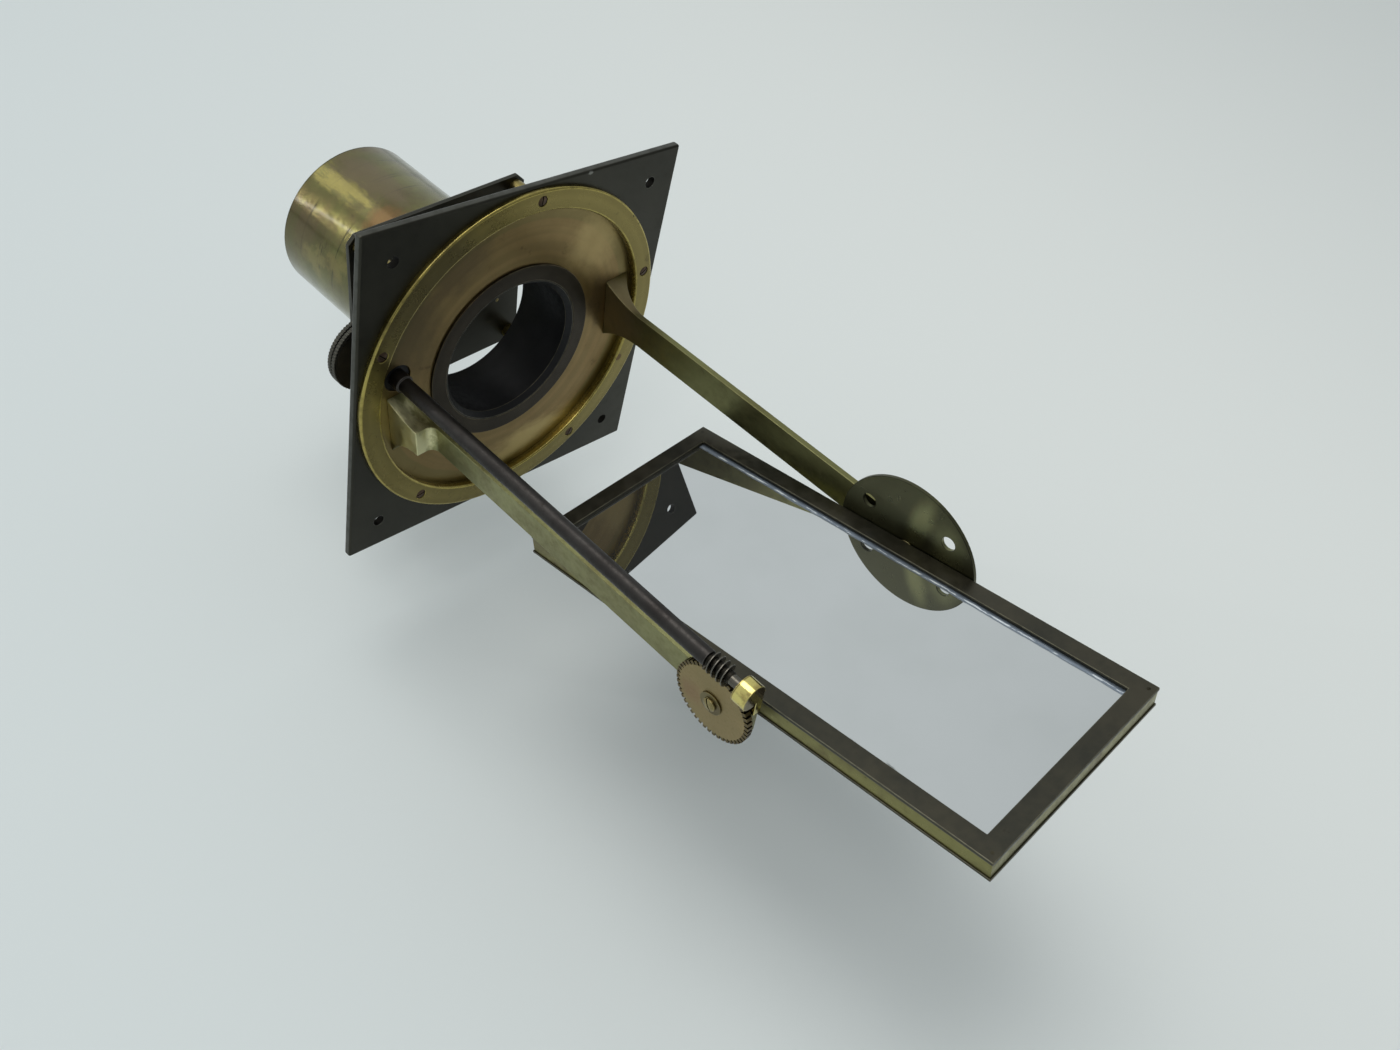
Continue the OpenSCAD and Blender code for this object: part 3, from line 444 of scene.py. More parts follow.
class Graph:
    """A node tree with short ways to add what the finishes are made of."""

    def __init__(self, tree: bpy.types.NodeTree) -> None:
        """Takes the tree to add to."""
        self.tree = tree

    def node(self, kind: str, **settings: object) -> bpy.types.Node:
        """Adds a node and sets its properties.

        Args:
            kind: The node's type.
            **settings: Values of the node's own properties.

        Returns:
            The node.
        """
        made = self.tree.nodes.new(kind)
        for name, value in settings.items():
            setattr(made, name, value)
        return made

    def feed(self, socket: Socket, value: object) -> None:
        """Links a socket to an output, or sets its value when it is a plain one.

        Args:
            socket: The socket.
            value: An output socket, a number, a vector or a colour.
        """
        if isinstance(value, Socket):
            self.tree.links.new(value, socket)
        elif socket.type == "RGBA":
            socket.default_value = (*value, 1.0)
        else:
            socket.default_value = value

    def feed_all(self, sockets: Iterable[Socket], values: Iterable[object]) -> None:
        """Feeds sockets one after the other."""
        for socket, value in zip(sockets, values):
            self.feed(socket, value)

    def math(self, operation: str, *values: object, clamp: bool = False) -> Socket:
        """Adds a Math node.

        Args:
            operation: What it does.
            *values: One to three values.
            clamp: Whether the result is kept between 0 and 1.

        Returns:
            Its output.
        """
        made = self.node("ShaderNodeMath", operation=operation, use_clamp=clamp)
        self.feed_all(made.inputs, values)
        return made.outputs[0]

    def times(self, first: object, second: object, clamp: bool = False) -> Socket:
        """Multiplies two values."""
        return self.math("MULTIPLY", first, second, clamp=clamp)

    def plus(self, first: object, second: object) -> Socket:
        """Adds two values."""
        return self.math("ADD", first, second)

    def minus(self, first: object, second: object) -> Socket:
        """Takes the second value from the first."""
        return self.math("SUBTRACT", first, second)

    def vector(self, operation: str, *values: object, output: str = "Vector") -> Socket:
        """Adds a Vector Math node.

        Args:
            operation: What it does.
            *values: One or two vectors.
            output: "Vector" or "Value".

        Returns:
            The output.
        """
        made = self.node("ShaderNodeVectorMath", operation=operation)
        self.feed_all(made.inputs, values)
        return made.outputs[output]

    def mapped(self, vector: object, kind: str, **values: object) -> Socket:
        """Adds a Mapping node.

        Args:
            vector: The vector that it maps.
            kind: Its type.
            **values: Its location, rotation and scale.

        Returns:
            The mapped vector.
        """
        made = self.node("ShaderNodeMapping", vector_type=kind)
        self.feed_all([made.inputs[name] for name in ("Vector", *values)], (vector, *values.values()))
        return made.outputs[0]

    def coordinates(self, kind: str = "Object") -> Socket:
        """Coordinates of the shaded point."""
        return self.node("ShaderNodeTexCoord").outputs[kind]

    def part(self, vector: object, axis: str) -> Socket:
        """One coordinate of a vector.

        Args:
            vector: The vector.
            axis: "X", "Y" or "Z".

        Returns:
            The coordinate.
        """
        made = self.node("ShaderNodeSeparateXYZ")
        self.feed(made.inputs[0], vector)
        return made.outputs[axis]

    def mix(self, factor: object, first: object, second: object) -> Socket:
        """Mixes two colours.

        Args:
            factor: Share of the second colour.
            first: The first colour.
            second: The second colour.

        Returns:
            The mixed colour.
        """
        made = self.node("ShaderNodeMix", data_type="RGBA")
        self.feed_all((made.inputs["Factor"], made.inputs[6], made.inputs[7]), (factor, first, second))
        return made.outputs[2]

    def spread(self, value: object, low: object, high: object, new_low: float = 0.0,
               new_high: float = 1.0) -> Socket:
        """Maps a value from one range to another, with soft ends.

        Args:
            value: The value or socket.
            low: The value that becomes new_low.
            high: The value that becomes new_high.
            new_low: Result at the low end.
            new_high: Result at the high end.

        Returns:
            The mapped value.
        """
        made = self.node("ShaderNodeMapRange", interpolation_type="SMOOTHSTEP", clamp=True)
        self.feed_all([made.inputs[name] for name in ("Value", "From Min", "From Max", "To Min", "To Max")],
                      (value, low, high, new_low, new_high))
        return made.outputs[0]

    def noise(self, vector: object, scale: object, detail: float = 4.0, rough: float = 0.55,
              dimensions: str = "3D") -> Socket:
        """Adds a noise texture and returns its value.

        Args:
            vector: Where it is read, or the single coordinate of a one-dimensional noise.
            scale: Its scale.
            detail: Its detail.
            rough: Its roughness.
            dimensions: "1D" or "3D".

        Returns:
            The noise, around a half.
        """
        made = self.node("ShaderNodeTexNoise", noise_dimensions=dimensions)
        where = "W" if dimensions == "1D" else "Vector"
        self.feed_all([made.inputs[name] for name in (where, "Scale", "Detail", "Roughness")],
                      (vector, scale, detail, rough))
        return made.outputs[0]

    def scaled(self, vector: object, scale: Triple) -> Socket:
        """Stretches a vector by a scale on each axis."""
        return self.vector("MULTIPLY", vector, scale)

    def radius(self, vector: object) -> Socket:
        """Distance from the Z axis, in millimetres."""
        return self.vector("LENGTH", self.scaled(vector, (1 / MM, 1 / MM, 0.0)), output="Value")


class Surface(Graph):
    """The node tree of a new material, around its shader."""

    def __init__(self, name: str) -> None:
        """Makes the material.

        Args:
            name: The material's name.
        """
        self.material = bpy.data.materials.new(name)
        self.material.use_nodes = True
        super().__init__(self.material.node_tree)
        self.shader = self.tree.nodes["Principled BSDF"]

    def dress(self, values: dict[str, object]) -> bpy.types.Material:
        """Feeds the shader's inputs by their names and returns the material."""
        self.feed_all([self.shader.inputs[name] for name in values], values.values())
        return self.material


class EffectGroup:
    """A shader node group that several finishes share."""

    def __init__(self, name: str, inputs: dict[str, float], outputs: Sequence[str],
                 body: Callable[[Graph, Sockets], Sockets]) -> None:
        """Builds the group once.

        Args:
            name: Its name.
            inputs: Its number inputs, with their first values.
            outputs: Its number outputs.
            body: Makes the nodes between them: it takes the inputs and returns the outputs by name.
        """
        self.tree = bpy.data.node_groups.new(name, "ShaderNodeTree")
        sides = self.tree.interface
        sides.new_socket("Vector", in_out="INPUT", socket_type="NodeSocketVector")
        for label, value in inputs.items():
            sides.new_socket(label, in_out="INPUT", socket_type="NodeSocketFloat").default_value = value
        for label in outputs:
            sides.new_socket(label, in_out="OUTPUT", socket_type="NodeSocketFloat")
        graph = Graph(self.tree)
        entry = graph.node("NodeGroupInput")
        leave = graph.node("NodeGroupOutput")
        for label, value in body(graph, {s.name: s for s in entry.outputs if s.name}).items():
            graph.feed(leave.inputs[label], value)

    def use(self, graph: Graph, vector: object, **values: object) -> Sockets:
        """Places the group in a material.

        Args:
            graph: The material's graph.
            vector: The coordinates that it reads.
            **values: Values or sockets for its inputs.

        Returns:
            Its outputs by name.
        """
        made = graph.node("ShaderNodeGroup")
        made.node_tree = self.tree
        graph.feed_all([made.inputs[name] for name in ("Vector", *values)], (vector, *values.values()))
        return {s.name: s for s in made.outputs}


def patina_nodes(g: Graph, i: Sockets) -> Sockets:
    """Broad blotches and fine specks of old lacquer.

    Args:
        g: The group's graph.
        i: The group's inputs.

    Returns:
        The group's outputs.
    """
    broad = g.noise(i["Vector"], i["Scale"], detail=5.0, rough=0.6)
    fine = g.noise(i["Vector"], g.times(i["Scale"], 9.0), detail=6.0, rough=0.65)
    blended = g.plus(g.times(broad, 0.78), g.times(fine, 0.22))
    half = g.times(i["Softness"], 0.5)
    return {"Blotches": g.spread(blended, g.minus(i["Level"], half), g.plus(i["Level"], half)),
            "Specks": g.spread(fine, 0.62, 0.72), "Fine": fine}


def wear_and_painted_light_nodes(g: Graph, i: Sockets) -> Sockets:
    """Rubbed edges and painted sheen where the mark is positive, broken up along them, and painted shade
    where it is negative.

    Args:
        g: The group's graph.
        i: The group's inputs.

    Returns:
        The group's outputs.
    """
    mask = g.node("ShaderNodeAttribute", attribute_name="worn").outputs["Fac"]
    ragged = g.spread(g.noise(i["Vector"], 260.0, detail=3.0), 0.3, 0.6, 0.35, 1.0)
    worn = g.times(g.math("MAXIMUM", mask, 0.0), ragged)
    return {"Wear": g.times(worn, i["Amount"]), "Grime": g.times(mask, -1.0, clamp=True)}


def turned_nodes(g: Graph, i: Sockets) -> Sockets:
    """Rings left by a lathe around the Z axis.

    Args:
        g: The group's graph.
        i: The group's inputs.

    Returns:
        The group's outputs.
    """
    radius = g.radius(i["Vector"])
    fine = g.noise(g.times(radius, i["Density"]), 1.0, detail=3.0, rough=0.7, dimensions="1D")
    bands = g.noise(g.times(radius, 0.16), 1.0, detail=2.0, dimensions="1D")
    return {"Height": fine, "Bands": g.spread(bands, 0.35, 0.65)}


def line_nodes(g: Graph, i: Sockets, fine: Triple, broad: Triple, scale: float, detail: float) -> Sockets:
    """Fine lines and broad bands that run one way.

    Args:
        g: The group's graph.
        i: The group's inputs.
        fine: How the coordinates are stretched for the lines.
        broad: How they are stretched for the bands.
        scale: The bands' scale.
        detail: The bands' detail.

    Returns:
        The group's outputs.
    """
    lines = g.noise(g.scaled(i["Vector"], fine), i["Density"], detail=4.0, rough=0.7)
    bands = g.noise(g.scaled(i["Vector"], broad), scale, detail=detail)
    return {"Height": lines, "Bands": g.spread(bands, 0.35, 0.65)}


def rim_nodes(g: Graph, i: Sockets) -> Sockets:
    """What lies outside a given radius, with a ragged edge.

    Args:
        g: The group's graph.
        i: The group's inputs.

    Returns:
        The group's outputs.
    """
    ragged = g.spread(g.noise(i["Vector"], 34.0, detail=5.0, rough=0.7), 0.42, 0.7, -0.6, 1.0)
    start = g.minus(i["Radius"], g.times(ragged, i["Width"]))
    outside = g.minus(g.radius(i["Vector"]), start)
    return {"Band": g.spread(outside, g.times(i["Soft"], -1.0), i["Soft"])}


def patch_nodes(g: Graph, i: Sockets) -> Sockets:
    """A patch around the origin that reaches out to one, with a ragged edge.

    Args:
        g: The group's graph.
        i: The group's inputs.

    Returns:
        The group's outputs.
    """
    uneven = g.minus(g.noise(i["Vector"], 1.6, detail=6.0, rough=0.65), 0.5)
    distance = g.plus(g.vector("LENGTH", i["Vector"], output="Value"), g.times(uneven, i["Ragged"]))
    return {"Stain": g.spread(distance, g.minus(1.0, i["Soft"]), 1.0, 1.0, 0.0)}


def score_nodes(g: Graph, i: Sockets) -> Sockets:
    """A thin scored line around a tube at a given height, broken here and there.

    Args:
        g: The group's graph.
        i: The group's inputs.

    Returns:
        The group's outputs.
    """
    wander = g.times(g.minus(g.noise(i["Vector"], 30.0), 0.5), 0.5)
    offset = g.minus(g.times(g.part(i["Vector"], "Z"), 1 / MM), i["Height"])
    line = g.spread(g.math("ABSOLUTE", g.plus(offset, wander)), 0.1, 0.32, 1.0, 0.0)
    return {"Line": g.times(line, g.spread(g.noise(i["Vector"], 55.0, detail=3.0), 0.42, 0.55))}


class Effects:
    """The shared effects, each a node group that is built once."""

    def __init__(self) -> None:
        """Builds all the groups."""
        self.patina = EffectGroup("old_lacquer", {"Scale": 30.0, "Level": 0.5, "Softness": 0.2},
                                  ("Blotches", "Specks", "Fine"), patina_nodes)
        # Rubbed edges with painted sheen, and painted shade, read from the face mask.
        self.wear_and_sheen = EffectGroup("edge_wear", {"Amount": 1.0}, ("Wear", "Grime"), wear_and_painted_light_nodes)
        file_nodes = partial(line_nodes, fine=(1.0, 1.0, 0.035), broad=(1.0, 1.0, 0.2), scale=90.0,
                             detail=2.0)
        tube_nodes = partial(line_nodes, fine=(0.05, 0.05, 1.0), broad=(0.1, 0.1, 1.0), scale=120.0,
                             detail=3.0)
        self.marks = {kind: EffectGroup(name, {"Density": density}, ("Height", "Bands"), body)
                      for kind, name, density, body in ((Marks.TURNED, "lathe_marks", 6.0, turned_nodes),
                                                        (Marks.DRAWN, "file_marks", 900.0, file_nodes),
                                                        (Marks.ROLLED, "tube_marks", 1400.0, tube_nodes))}
        self.rim = EffectGroup("ragged_rim", {"Radius": 70.0, "Width": 3.0, "Soft": 0.2}, ("Band",),
                               rim_nodes)
        self.patch = EffectGroup("local_stain", {"Ragged": 1.4, "Soft": 0.5}, ("Stain",), patch_nodes)
        self.score = EffectGroup("score_line", {"Height": 0.0}, ("Line",), score_nodes)


@dataclass(frozen=True)
class Stain:
    """A patch of another colour, laid out in a piece's own frame; besides real marks, some finishes use
    patches for painted highlights, painted reflections and painted shade.

    The centre and the reach along each axis are millimetres; the turn, in degrees, is around the Z axis.
    """

    centre: Triple
    reach: Triple
    colour: Colour = (0.0, 0.0, 0.0)
    strength: float = 0.7
    turn: float = 0.0
    ragged: float = 1.2
    soft: float = 0.6


@dataclass(frozen=True)
class RimBand:
    """A change of colour outside a radius, kept to a few places where they are given."""

    radius: float
    ragged: float
    soft: float
    colour: Colour
    strength: float = 1.0
    places: tuple[Stain, ...] = ()


@dataclass(frozen=True)
class Finish:
    """How one kind of surface looks.

    Colours are linear. The first colour is the common one, the second lies in blotches, and the third
    colour shows where handling rounded the edges and where a painted sheen is marked.
    """

    name: str
    slot: str
    colour: Colour
    blotch: Colour
    worn: Colour
    speck: Colour = (0.02, 0.018, 0.012)
    rough: Point = (0.3, 0.45)
    worn_rough: float = 0.3
    metallic: float = 1.0
    scale: float = 40.0
    level: float = 0.5
    softness: float = 0.25
    # How strongly rubbed edges and painted sheen show.
    wear_and_sheen: float = 0.5
    specks: float = 0.4
    marks: Marks = Marks.PLAIN
    density: float = 6.0
    mark_height: float = 0.00002
    bands: float = 0.25
    grain: float = 0.15
    coat: float = 0.0
    coat_rough: float = 0.2
    anisotropic: float = 0.0
    # Colour of painted shade, on faces marked below zero in slots, grooves, gaps and holes.
    painted_shade: Colour = (0.010, 0.009, 0.007)
    painted_shade_rough: float = 0.25
    score_shade: float = 0.7
    score_depth: float = 2.0
    rims: tuple[RimBand, ...] = ()
    patches: tuple[Stain, ...] = ()
    score_lines: tuple[float, ...] = ()


class Painter:
    """Makes the materials, one for each finish and place."""

    def __init__(self, effects: Effects) -> None:
        """Takes the shared effects."""
        self.effects = effects
        self.made: dict[tuple[str, str], bpy.types.Material] = {}

    def metal(self, finish: Finish, seat: Seat) -> bpy.types.Material:
        """Makes or finds the material of a finish, with its pattern laid out in a piece's own frame.

        Args:
            finish: The finish.
            seat: The piece's frame.

        Returns:
            The material.
        """
        if (finish.name, seat.key) not in self.made:
            graph = Surface(f"{finish.name}_{seat.key}")
            vector = self.local(graph, seat.place)
            self.made[finish.name, seat.key] = self.paint(graph, finish, vector, seat.place)
        return self.made[finish.name, seat.key]

    def paint(self, graph: Surface, finish: Finish, vector: Socket, place: Matrix) -> bpy.types.Material:
        """Lays a finish over a new material.

        Args:
            graph: The material's graph.
            finish: The finish.
            vector: The piece's own coordinates.
            place: The piece's frame, in millimetres.

        Returns:
            The material.
        """
        patina = self.effects.patina.use(graph, vector, Scale=finish.scale, Level=finish.level,
                                         Softness=finish.softness)
        handled = self.effects.wear_and_sheen.use(graph, vector, Amount=finish.wear_and_sheen)
        wear_and_sheen, painted_shade = handled["Wear"], handled["Grime"]
        colour = graph.mix(patina["Blotches"], finish.colour, finish.blotch)
        height = graph.times(patina["Fine"], finish.grain)
        if finish.marks is not Marks.PLAIN:
            marks = self.effects.marks[finish.marks].use(graph, vector, Density=finish.density)
            dim = tuple(c * (1 - finish.bands) for c in finish.colour)
            colour = graph.mix(graph.times(marks["Bands"], finish.bands * 2, clamp=True), colour, dim)
            height = graph.plus(height, marks["Height"])
        colour = graph.mix(graph.times(patina["Specks"], finish.specks), colour, finish.speck)
        for line in finish.score_lines:
            scored = self.effects.score.use(graph, vector, Height=line)["Line"]
            colour = graph.mix(graph.times(scored, finish.score_shade), colour, finish.speck)
            height = graph.minus(height, graph.times(scored, finish.score_depth))
        for band in finish.rims:
            colour = graph.mix(self.band(graph, vector, band), colour, band.colour)
        for patch in finish.patches:
            colour = graph.mix(self.patch(graph, vector, patch), colour, patch.colour)
        # The third colour on rubbed edges and painted sheen, then the colour of painted shade.
        colour = graph.mix(painted_shade, graph.mix(wear_and_sheen, colour, finish.worn), finish.painted_shade)
        rough = graph.plus(graph.spread(patina["Fine"], 0.3, 0.7, *finish.rough),
                           graph.times(wear_and_sheen, finish.worn_rough - finish.rough[0]))
        rough = graph.plus(rough, graph.times(painted_shade, finish.painted_shade_rough))
        bump = graph.node("ShaderNodeBump")
        graph.feed_all([bump.inputs[name] for name in ("Strength", "Distance", "Height")],
                       (1.0, finish.mark_height, height))
        if finish.anisotropic:
            graph.dress({"Anisotropic": finish.anisotropic, "Tangent": self.around(graph, place)})
        return graph.dress({"Base Color": colour, "Roughness": rough, "Normal": bump.outputs[0],
                            "Metallic": finish.metallic, "Coat Weight": finish.coat,
                            "Coat Roughness": finish.coat_rough})

    def band(self, graph: Graph, vector: object, band: RimBand) -> Socket:
        """Mask of a band outside a radius, up to its strength.

        Args:
            graph: The material's graph.
            vector: The piece's own coordinates.
            band: The band.

        Returns:
            The mask.
        """
        mask = self.effects.rim.use(graph, vector, Radius=band.radius, Width=band.ragged,
                                    Soft=band.soft)["Band"]
        if band.places:
            near = self.patch(graph, vector, band.places[0])
            for spot in band.places[1:]:
                near = graph.math("MAXIMUM", near, self.patch(graph, vector, spot))
            mask = graph.times(mask, near)
        return graph.times(mask, band.strength)

    def patch(self, graph: Graph, vector: object, patch: Stain) -> Socket:
        """Mask of a patch, up to its strength.

        Args:
            graph: The material's graph.
            vector: The piece's own coordinates.
            patch: The patch.

        Returns:
            The mask.
        """
        near = graph.mapped(vector, "TEXTURE", Location=[c * MM for c in patch.centre],
                            Rotation=(0.0, 0.0, math.radians(patch.turn)),
                            Scale=[r * MM for r in patch.reach])
        mask = self.effects.patch.use(graph, near, Ragged=patch.ragged, Soft=patch.soft)["Stain"]
        return graph.times(mask, patch.strength)

    def local(self, graph: Graph, place: Matrix) -> Socket:
        """Object coordinates brought into a piece's own frame, in metres."""
        back = (Matrix.Scale(MM, 4) @ place @ Matrix.Scale(1 / MM, 4)).inverted()
        return graph.mapped(graph.coordinates(), "POINT", Location=back.to_translation(),
                            Rotation=back.to_euler("XYZ"))

    def around(self, graph: Graph, place: Matrix) -> Socket:
        """The direction around a piece's own Z axis, at each point of it.

        Args:
            graph: The material's graph.
            place: The piece's frame, in millimetres.

        Returns:
            The direction.
        """
        axis = (place.to_3x3() @ Vector((0, 0, 1))).normalized()
        offset = graph.vector("SUBTRACT", graph.coordinates(), place.to_translation() * MM)
        return graph.vector("NORMALIZE", graph.vector("CROSS_PRODUCT", axis, offset))


BRONZED = Finish(
    "bronzed", "bronzed_plate", (0.034, 0.033, 0.026), (0.047, 0.045, 0.035), (0.110, 0.110, 0.095),
    rough=(0.32, 0.46), scale=18.0, softness=0.3, specks=0.25, wear_and_sheen=0.75, grain=0.25, mark_height=0.000012,
    metallic=0.9,
    patches=(
        Stain((27.3, 75.0, 0.0), (1.6, 0.9, 2.0), (0.24, 0.24, 0.22), 0.8, ragged=0.8),
        Stain((50.0, 10.0, 0.0), (46.0, 60.0, 30.0), (0.044, 0.043, 0.035), 0.7, soft=0.9)))
BEZEL = Finish(
    "bronzed_frame", "bronzed_plate", (0.044, 0.043, 0.034), (0.066, 0.060, 0.043), (0.17, 0.16, 0.11),
    scale=26.0, softness=0.3, specks=0.3, grain=0.25, mark_height=0.000012, metallic=0.9)
RING_DARK = (
    Stain((-50.0, -53.0, 0.0), (25.0, 25.0, 20.0), strength=1.0, soft=0.3),
    Stain((60.0, 42.0, 0.0), (19.0, 22.0, 20.0), strength=1.0, soft=0.3),
    Stain((42.0, -60.0, 0.0), (13.0, 12.0, 20.0), strength=1.0, soft=0.3))
RING = Finish(
    "lacquered_ring", "lacquered_ring", (0.205, 0.165, 0.055), (0.262, 0.215, 0.074), (0.55, 0.45, 0.13),
    rough=(0.24, 0.36), worn_rough=0.16, scale=14.0, softness=0.35, marks=Marks.TURNED, density=5.0,
    specks=0.3, bands=0.2, wear_and_sheen=0.6,
    rims=(RimBand(74.9, 3.2, 0.2, (0.028, 0.026, 0.019), 1.0, RING_DARK),),
    patches=(
        Stain((-50.0, 48.0, 0.0), (34.0, 40.0, 30.0), (0.105, 0.085, 0.042), 0.65, soft=0.7),
        Stain((62.6, -24.7, 2.0), (1.9, 1.9, 3.0), (0.10, 0.055, 0.028), 0.85, ragged=0.2, soft=0.2)))
# The darker patches at the left, upper left and beside the right arm's foot are painted shade; the bright
# patches at the upper right and bottom are painted reflections.
DISC = Finish(
    "copper_lacquer", "disc_brass", (0.280, 0.202, 0.086), (0.235, 0.158, 0.068), (0.34, 0.24, 0.10),
    rough=(0.30, 0.42), scale=13.0, softness=0.4, marks=Marks.TURNED, density=4.0, specks=0.35, bands=0.3,
    anisotropic=0.45,
    rims=(RimBand(59.5, 0.6, 0.5, (0.185, 0.155, 0.062), 0.6),),
    patches=(
        Stain((-50.0, 34.0, 0.0), (24.0, 32.0, 30.0), (0.100, 0.080, 0.045), 0.7, soft=0.8),
        Stain((-24.0, 51.0, 0.0), (24.0, 11.0, 30.0), (0.115, 0.088, 0.050), 0.6, 25.0, soft=0.7),
        Stain((48.0, 3.0, 0.0), (12.0, 15.0, 30.0), (0.120, 0.085, 0.048), 0.65, soft=0.7),
        Stain((42.0, 34.0, 0.0), (20.0, 20.0, 30.0), (0.420, 0.320, 0.140), 0.6, soft=0.8),
        Stain((10.0, -57.0, 0.0), (30.0, 12.0, 30.0), (0.520, 0.400, 0.170), 0.75, soft=0.7)))
BLACKENED = Finish(
    "blackened", "blackened_brass", (0.007, 0.007, 0.008), (0.012, 0.012, 0.014), (0.16, 0.14, 0.09),
    rough=(0.36, 0.55), scale=60.0, softness=0.3, marks=Marks.ROLLED, density=800.0, metallic=0.5, wear_and_sheen=0.6,
    specks=0.1)
COLLAR = Finish(
    "dark_collar", "blackened_brass", (0.027, 0.021, 0.014), (0.043, 0.034, 0.023), (0.17, 0.14, 0.085),
    rough=(0.34, 0.46), scale=30.0, marks=Marks.TURNED, density=5.0, metallic=0.9, wear_and_sheen=0.55, specks=0.3)
# The bright patch on the left foot's outer face is painted light.
ARM = Finish(
    "arm_lacquer", "arm_brass", (0.265, 0.262, 0.118), (0.165, 0.145, 0.062), (0.36, 0.34, 0.16),
    rough=(0.30, 0.46), scale=34.0, level=0.55, marks=Marks.DRAWN, density=700.0, wear_and_sheen=0.3, specks=0.15,
    patches=(Stain((-60.0, -4.0, 8.0), (9.0, 17.0, 18.0), (0.78, 0.74, 0.44), 0.9, soft=0.4),))
# The small pale patch on the foot is a painted highlight; the larger brown patch is the arm's own colour.
RIGHT_ARM = Finish(
    "right_arm_lacquer", "arm_brass", (0.215, 0.212, 0.090), (0.130, 0.112, 0.048), (0.30, 0.28, 0.14),
    rough=(0.30, 0.46), scale=30.0, level=0.52, softness=0.3, marks=Marks.DRAWN, density=700.0, wear_and_sheen=0.3,
    specks=0.15,
    patches=(
        Stain((54.0, 0.0, 6.0), (16.0, 22.0, 17.0), (0.250, 0.200, 0.110), 0.8, soft=0.6),
        Stain((51.4, 12.7, 8.0), (2.0, 3.4, 5.0), (0.62, 0.56, 0.42), 0.8, ragged=1.8)))
# The yellow band along the tube's upper left is a painted reflection.
TUBE = Finish(
    "tube_lacquer", "tube_brass", (0.180, 0.172, 0.058), (0.125, 0.094, 0.042), (0.30, 0.25, 0.11),
    rough=(0.13, 0.26), scale=30.0, marks=Marks.ROLLED, density=1100.0, mark_height=0.000008, wear_and_sheen=0.4,
    bands=0.35, coat=0.3, coat_rough=0.07, score_lines=(98.6, 86.9, 85.3, 76.2),
    patches=(
        Stain((-8.0, -33.0, 88.0), (13.0, 9.0, 28.0), (0.190, 0.145, 0.085), 0.75),
        Stain((-17.2, -29.2, 93.0), (6.5, 6.5, 21.0), (0.310, 0.262, 0.080), 0.75, ragged=2.6, soft=0.6),
        Stain((-33.0, -8.6, 98.0), (9.0, 12.0, 9.0), (0.140, 0.105, 0.050), 0.7),
        Stain((-33.9, -2.0, 89.0), (9.0, 8.0, 9.0), (0.260, 0.215, 0.080), 0.7, ragged=2.4, soft=0.7),
        Stain((-33.0, -7.0, 74.0), (9.0, 8.0, 8.0), (0.250, 0.200, 0.070), 0.6, ragged=2.4, soft=0.7),
        Stain((-17.0, -29.5, 66.0), (12.0, 12.0, 9.0), (0.220, 0.120, 0.048), 0.7),
        Stain((0.0, 0.0, 112.4), (75.0, 75.0, 2.6), (0.030, 0.027, 0.018), 0.9, ragged=0.3, soft=0.25)))
WHEEL = Finish(
    "wheel_patina", "wheel_brass", (0.290, 0.218, 0.098), (0.250, 0.194, 0.084), (0.42, 0.34, 0.16),
    rough=(0.3, 0.42), scale=90.0, softness=0.35, marks=Marks.TURNED, density=8.0, bands=0.1, specks=0.25,
    rims=(RimBand(15.1, 0.3, 0.25, (0.055, 0.040, 0.020), 0.75),),
    patches=(Stain((3.0, 9.0, 0.0), (8.0, 7.0, 9.0), (0.255, 0.150, 0.078), 0.6, soft=0.8),))
WASHER = Finish(
    "washer_patina", "wheel_brass", (0.175, 0.145, 0.066), (0.120, 0.095, 0.045), (0.30, 0.25, 0.11),
    rough=(0.3, 0.42), scale=120.0)
POLISHED = Finish(
    "bright_brass", "polished_brass", (0.70, 0.60, 0.205), (0.42, 0.33, 0.115), (0.80, 0.69, 0.26),
    rough=(0.10, 0.22), scale=140.0, level=0.55, softness=0.2, specks=0.5, mark_height=0.00001,
    patches=(
        Stain((-54.1, 15.8, 186.4), (13.0, 13.0, 1.7), (0.165, 0.118, 0.062), 0.9, ragged=0.3, soft=0.1),
        Stain((-54.1, 15.8, 179.0), (12.0, 12.0, 1.1), (0.200, 0.145, 0.060), 0.8, ragged=0.5, soft=0.3),
        Stain((-50.5, 10.0, 182.0), (6.0, 6.0, 6.0), (0.200, 0.160, 0.075), 0.8)))
# The two pale patches on the perforated disc paint a fan-shaped highlight.
STEADY = Finish(
    "turned_brass", "steady_brass", (0.092, 0.092, 0.050), (0.074, 0.071, 0.040), (0.036, 0.034, 0.024),
    rough=(0.26, 0.34), worn_rough=0.4, scale=14.0, softness=0.5, marks=Marks.TURNED, density=7.0,
    bands=0.15, wear_and_sheen=0.9, specks=0.04, grain=0.0, mark_height=0.000006, anisotropic=0.75,
    patches=(
        Stain((-16.0, -5.5, 0.0), (18.0, 6.5, 9.0), (0.250, 0.250, 0.120), 0.8, 17.0, ragged=0.5, soft=0.8),
        Stain((-12.0, -18.0, 0.0), (14.0, 10.0, 9.0), (0.210, 0.210, 0.105), 0.75, ragged=0.5, soft=0.8)))
RIM = Finish(
    "rim_lacquer", "rim_brass", (0.235, 0.220, 0.080), (0.120, 0.092, 0.048), (0.34, 0.31, 0.14),
    rough=(0.26, 0.4), scale=30.0, level=0.55, softness=0.2, marks=Marks.DRAWN, density=600.0)
ROD = Finish(
    "rod_brown", "rod_steel", (0.056, 0.052, 0.049), (0.040, 0.036, 0.034), (0.13, 0.12, 0.11),
    rough=(0.36, 0.5), worn_rough=0.35, scale=60.0, softness=0.3, marks=Marks.DRAWN, density=900.0,
    specks=0.3)
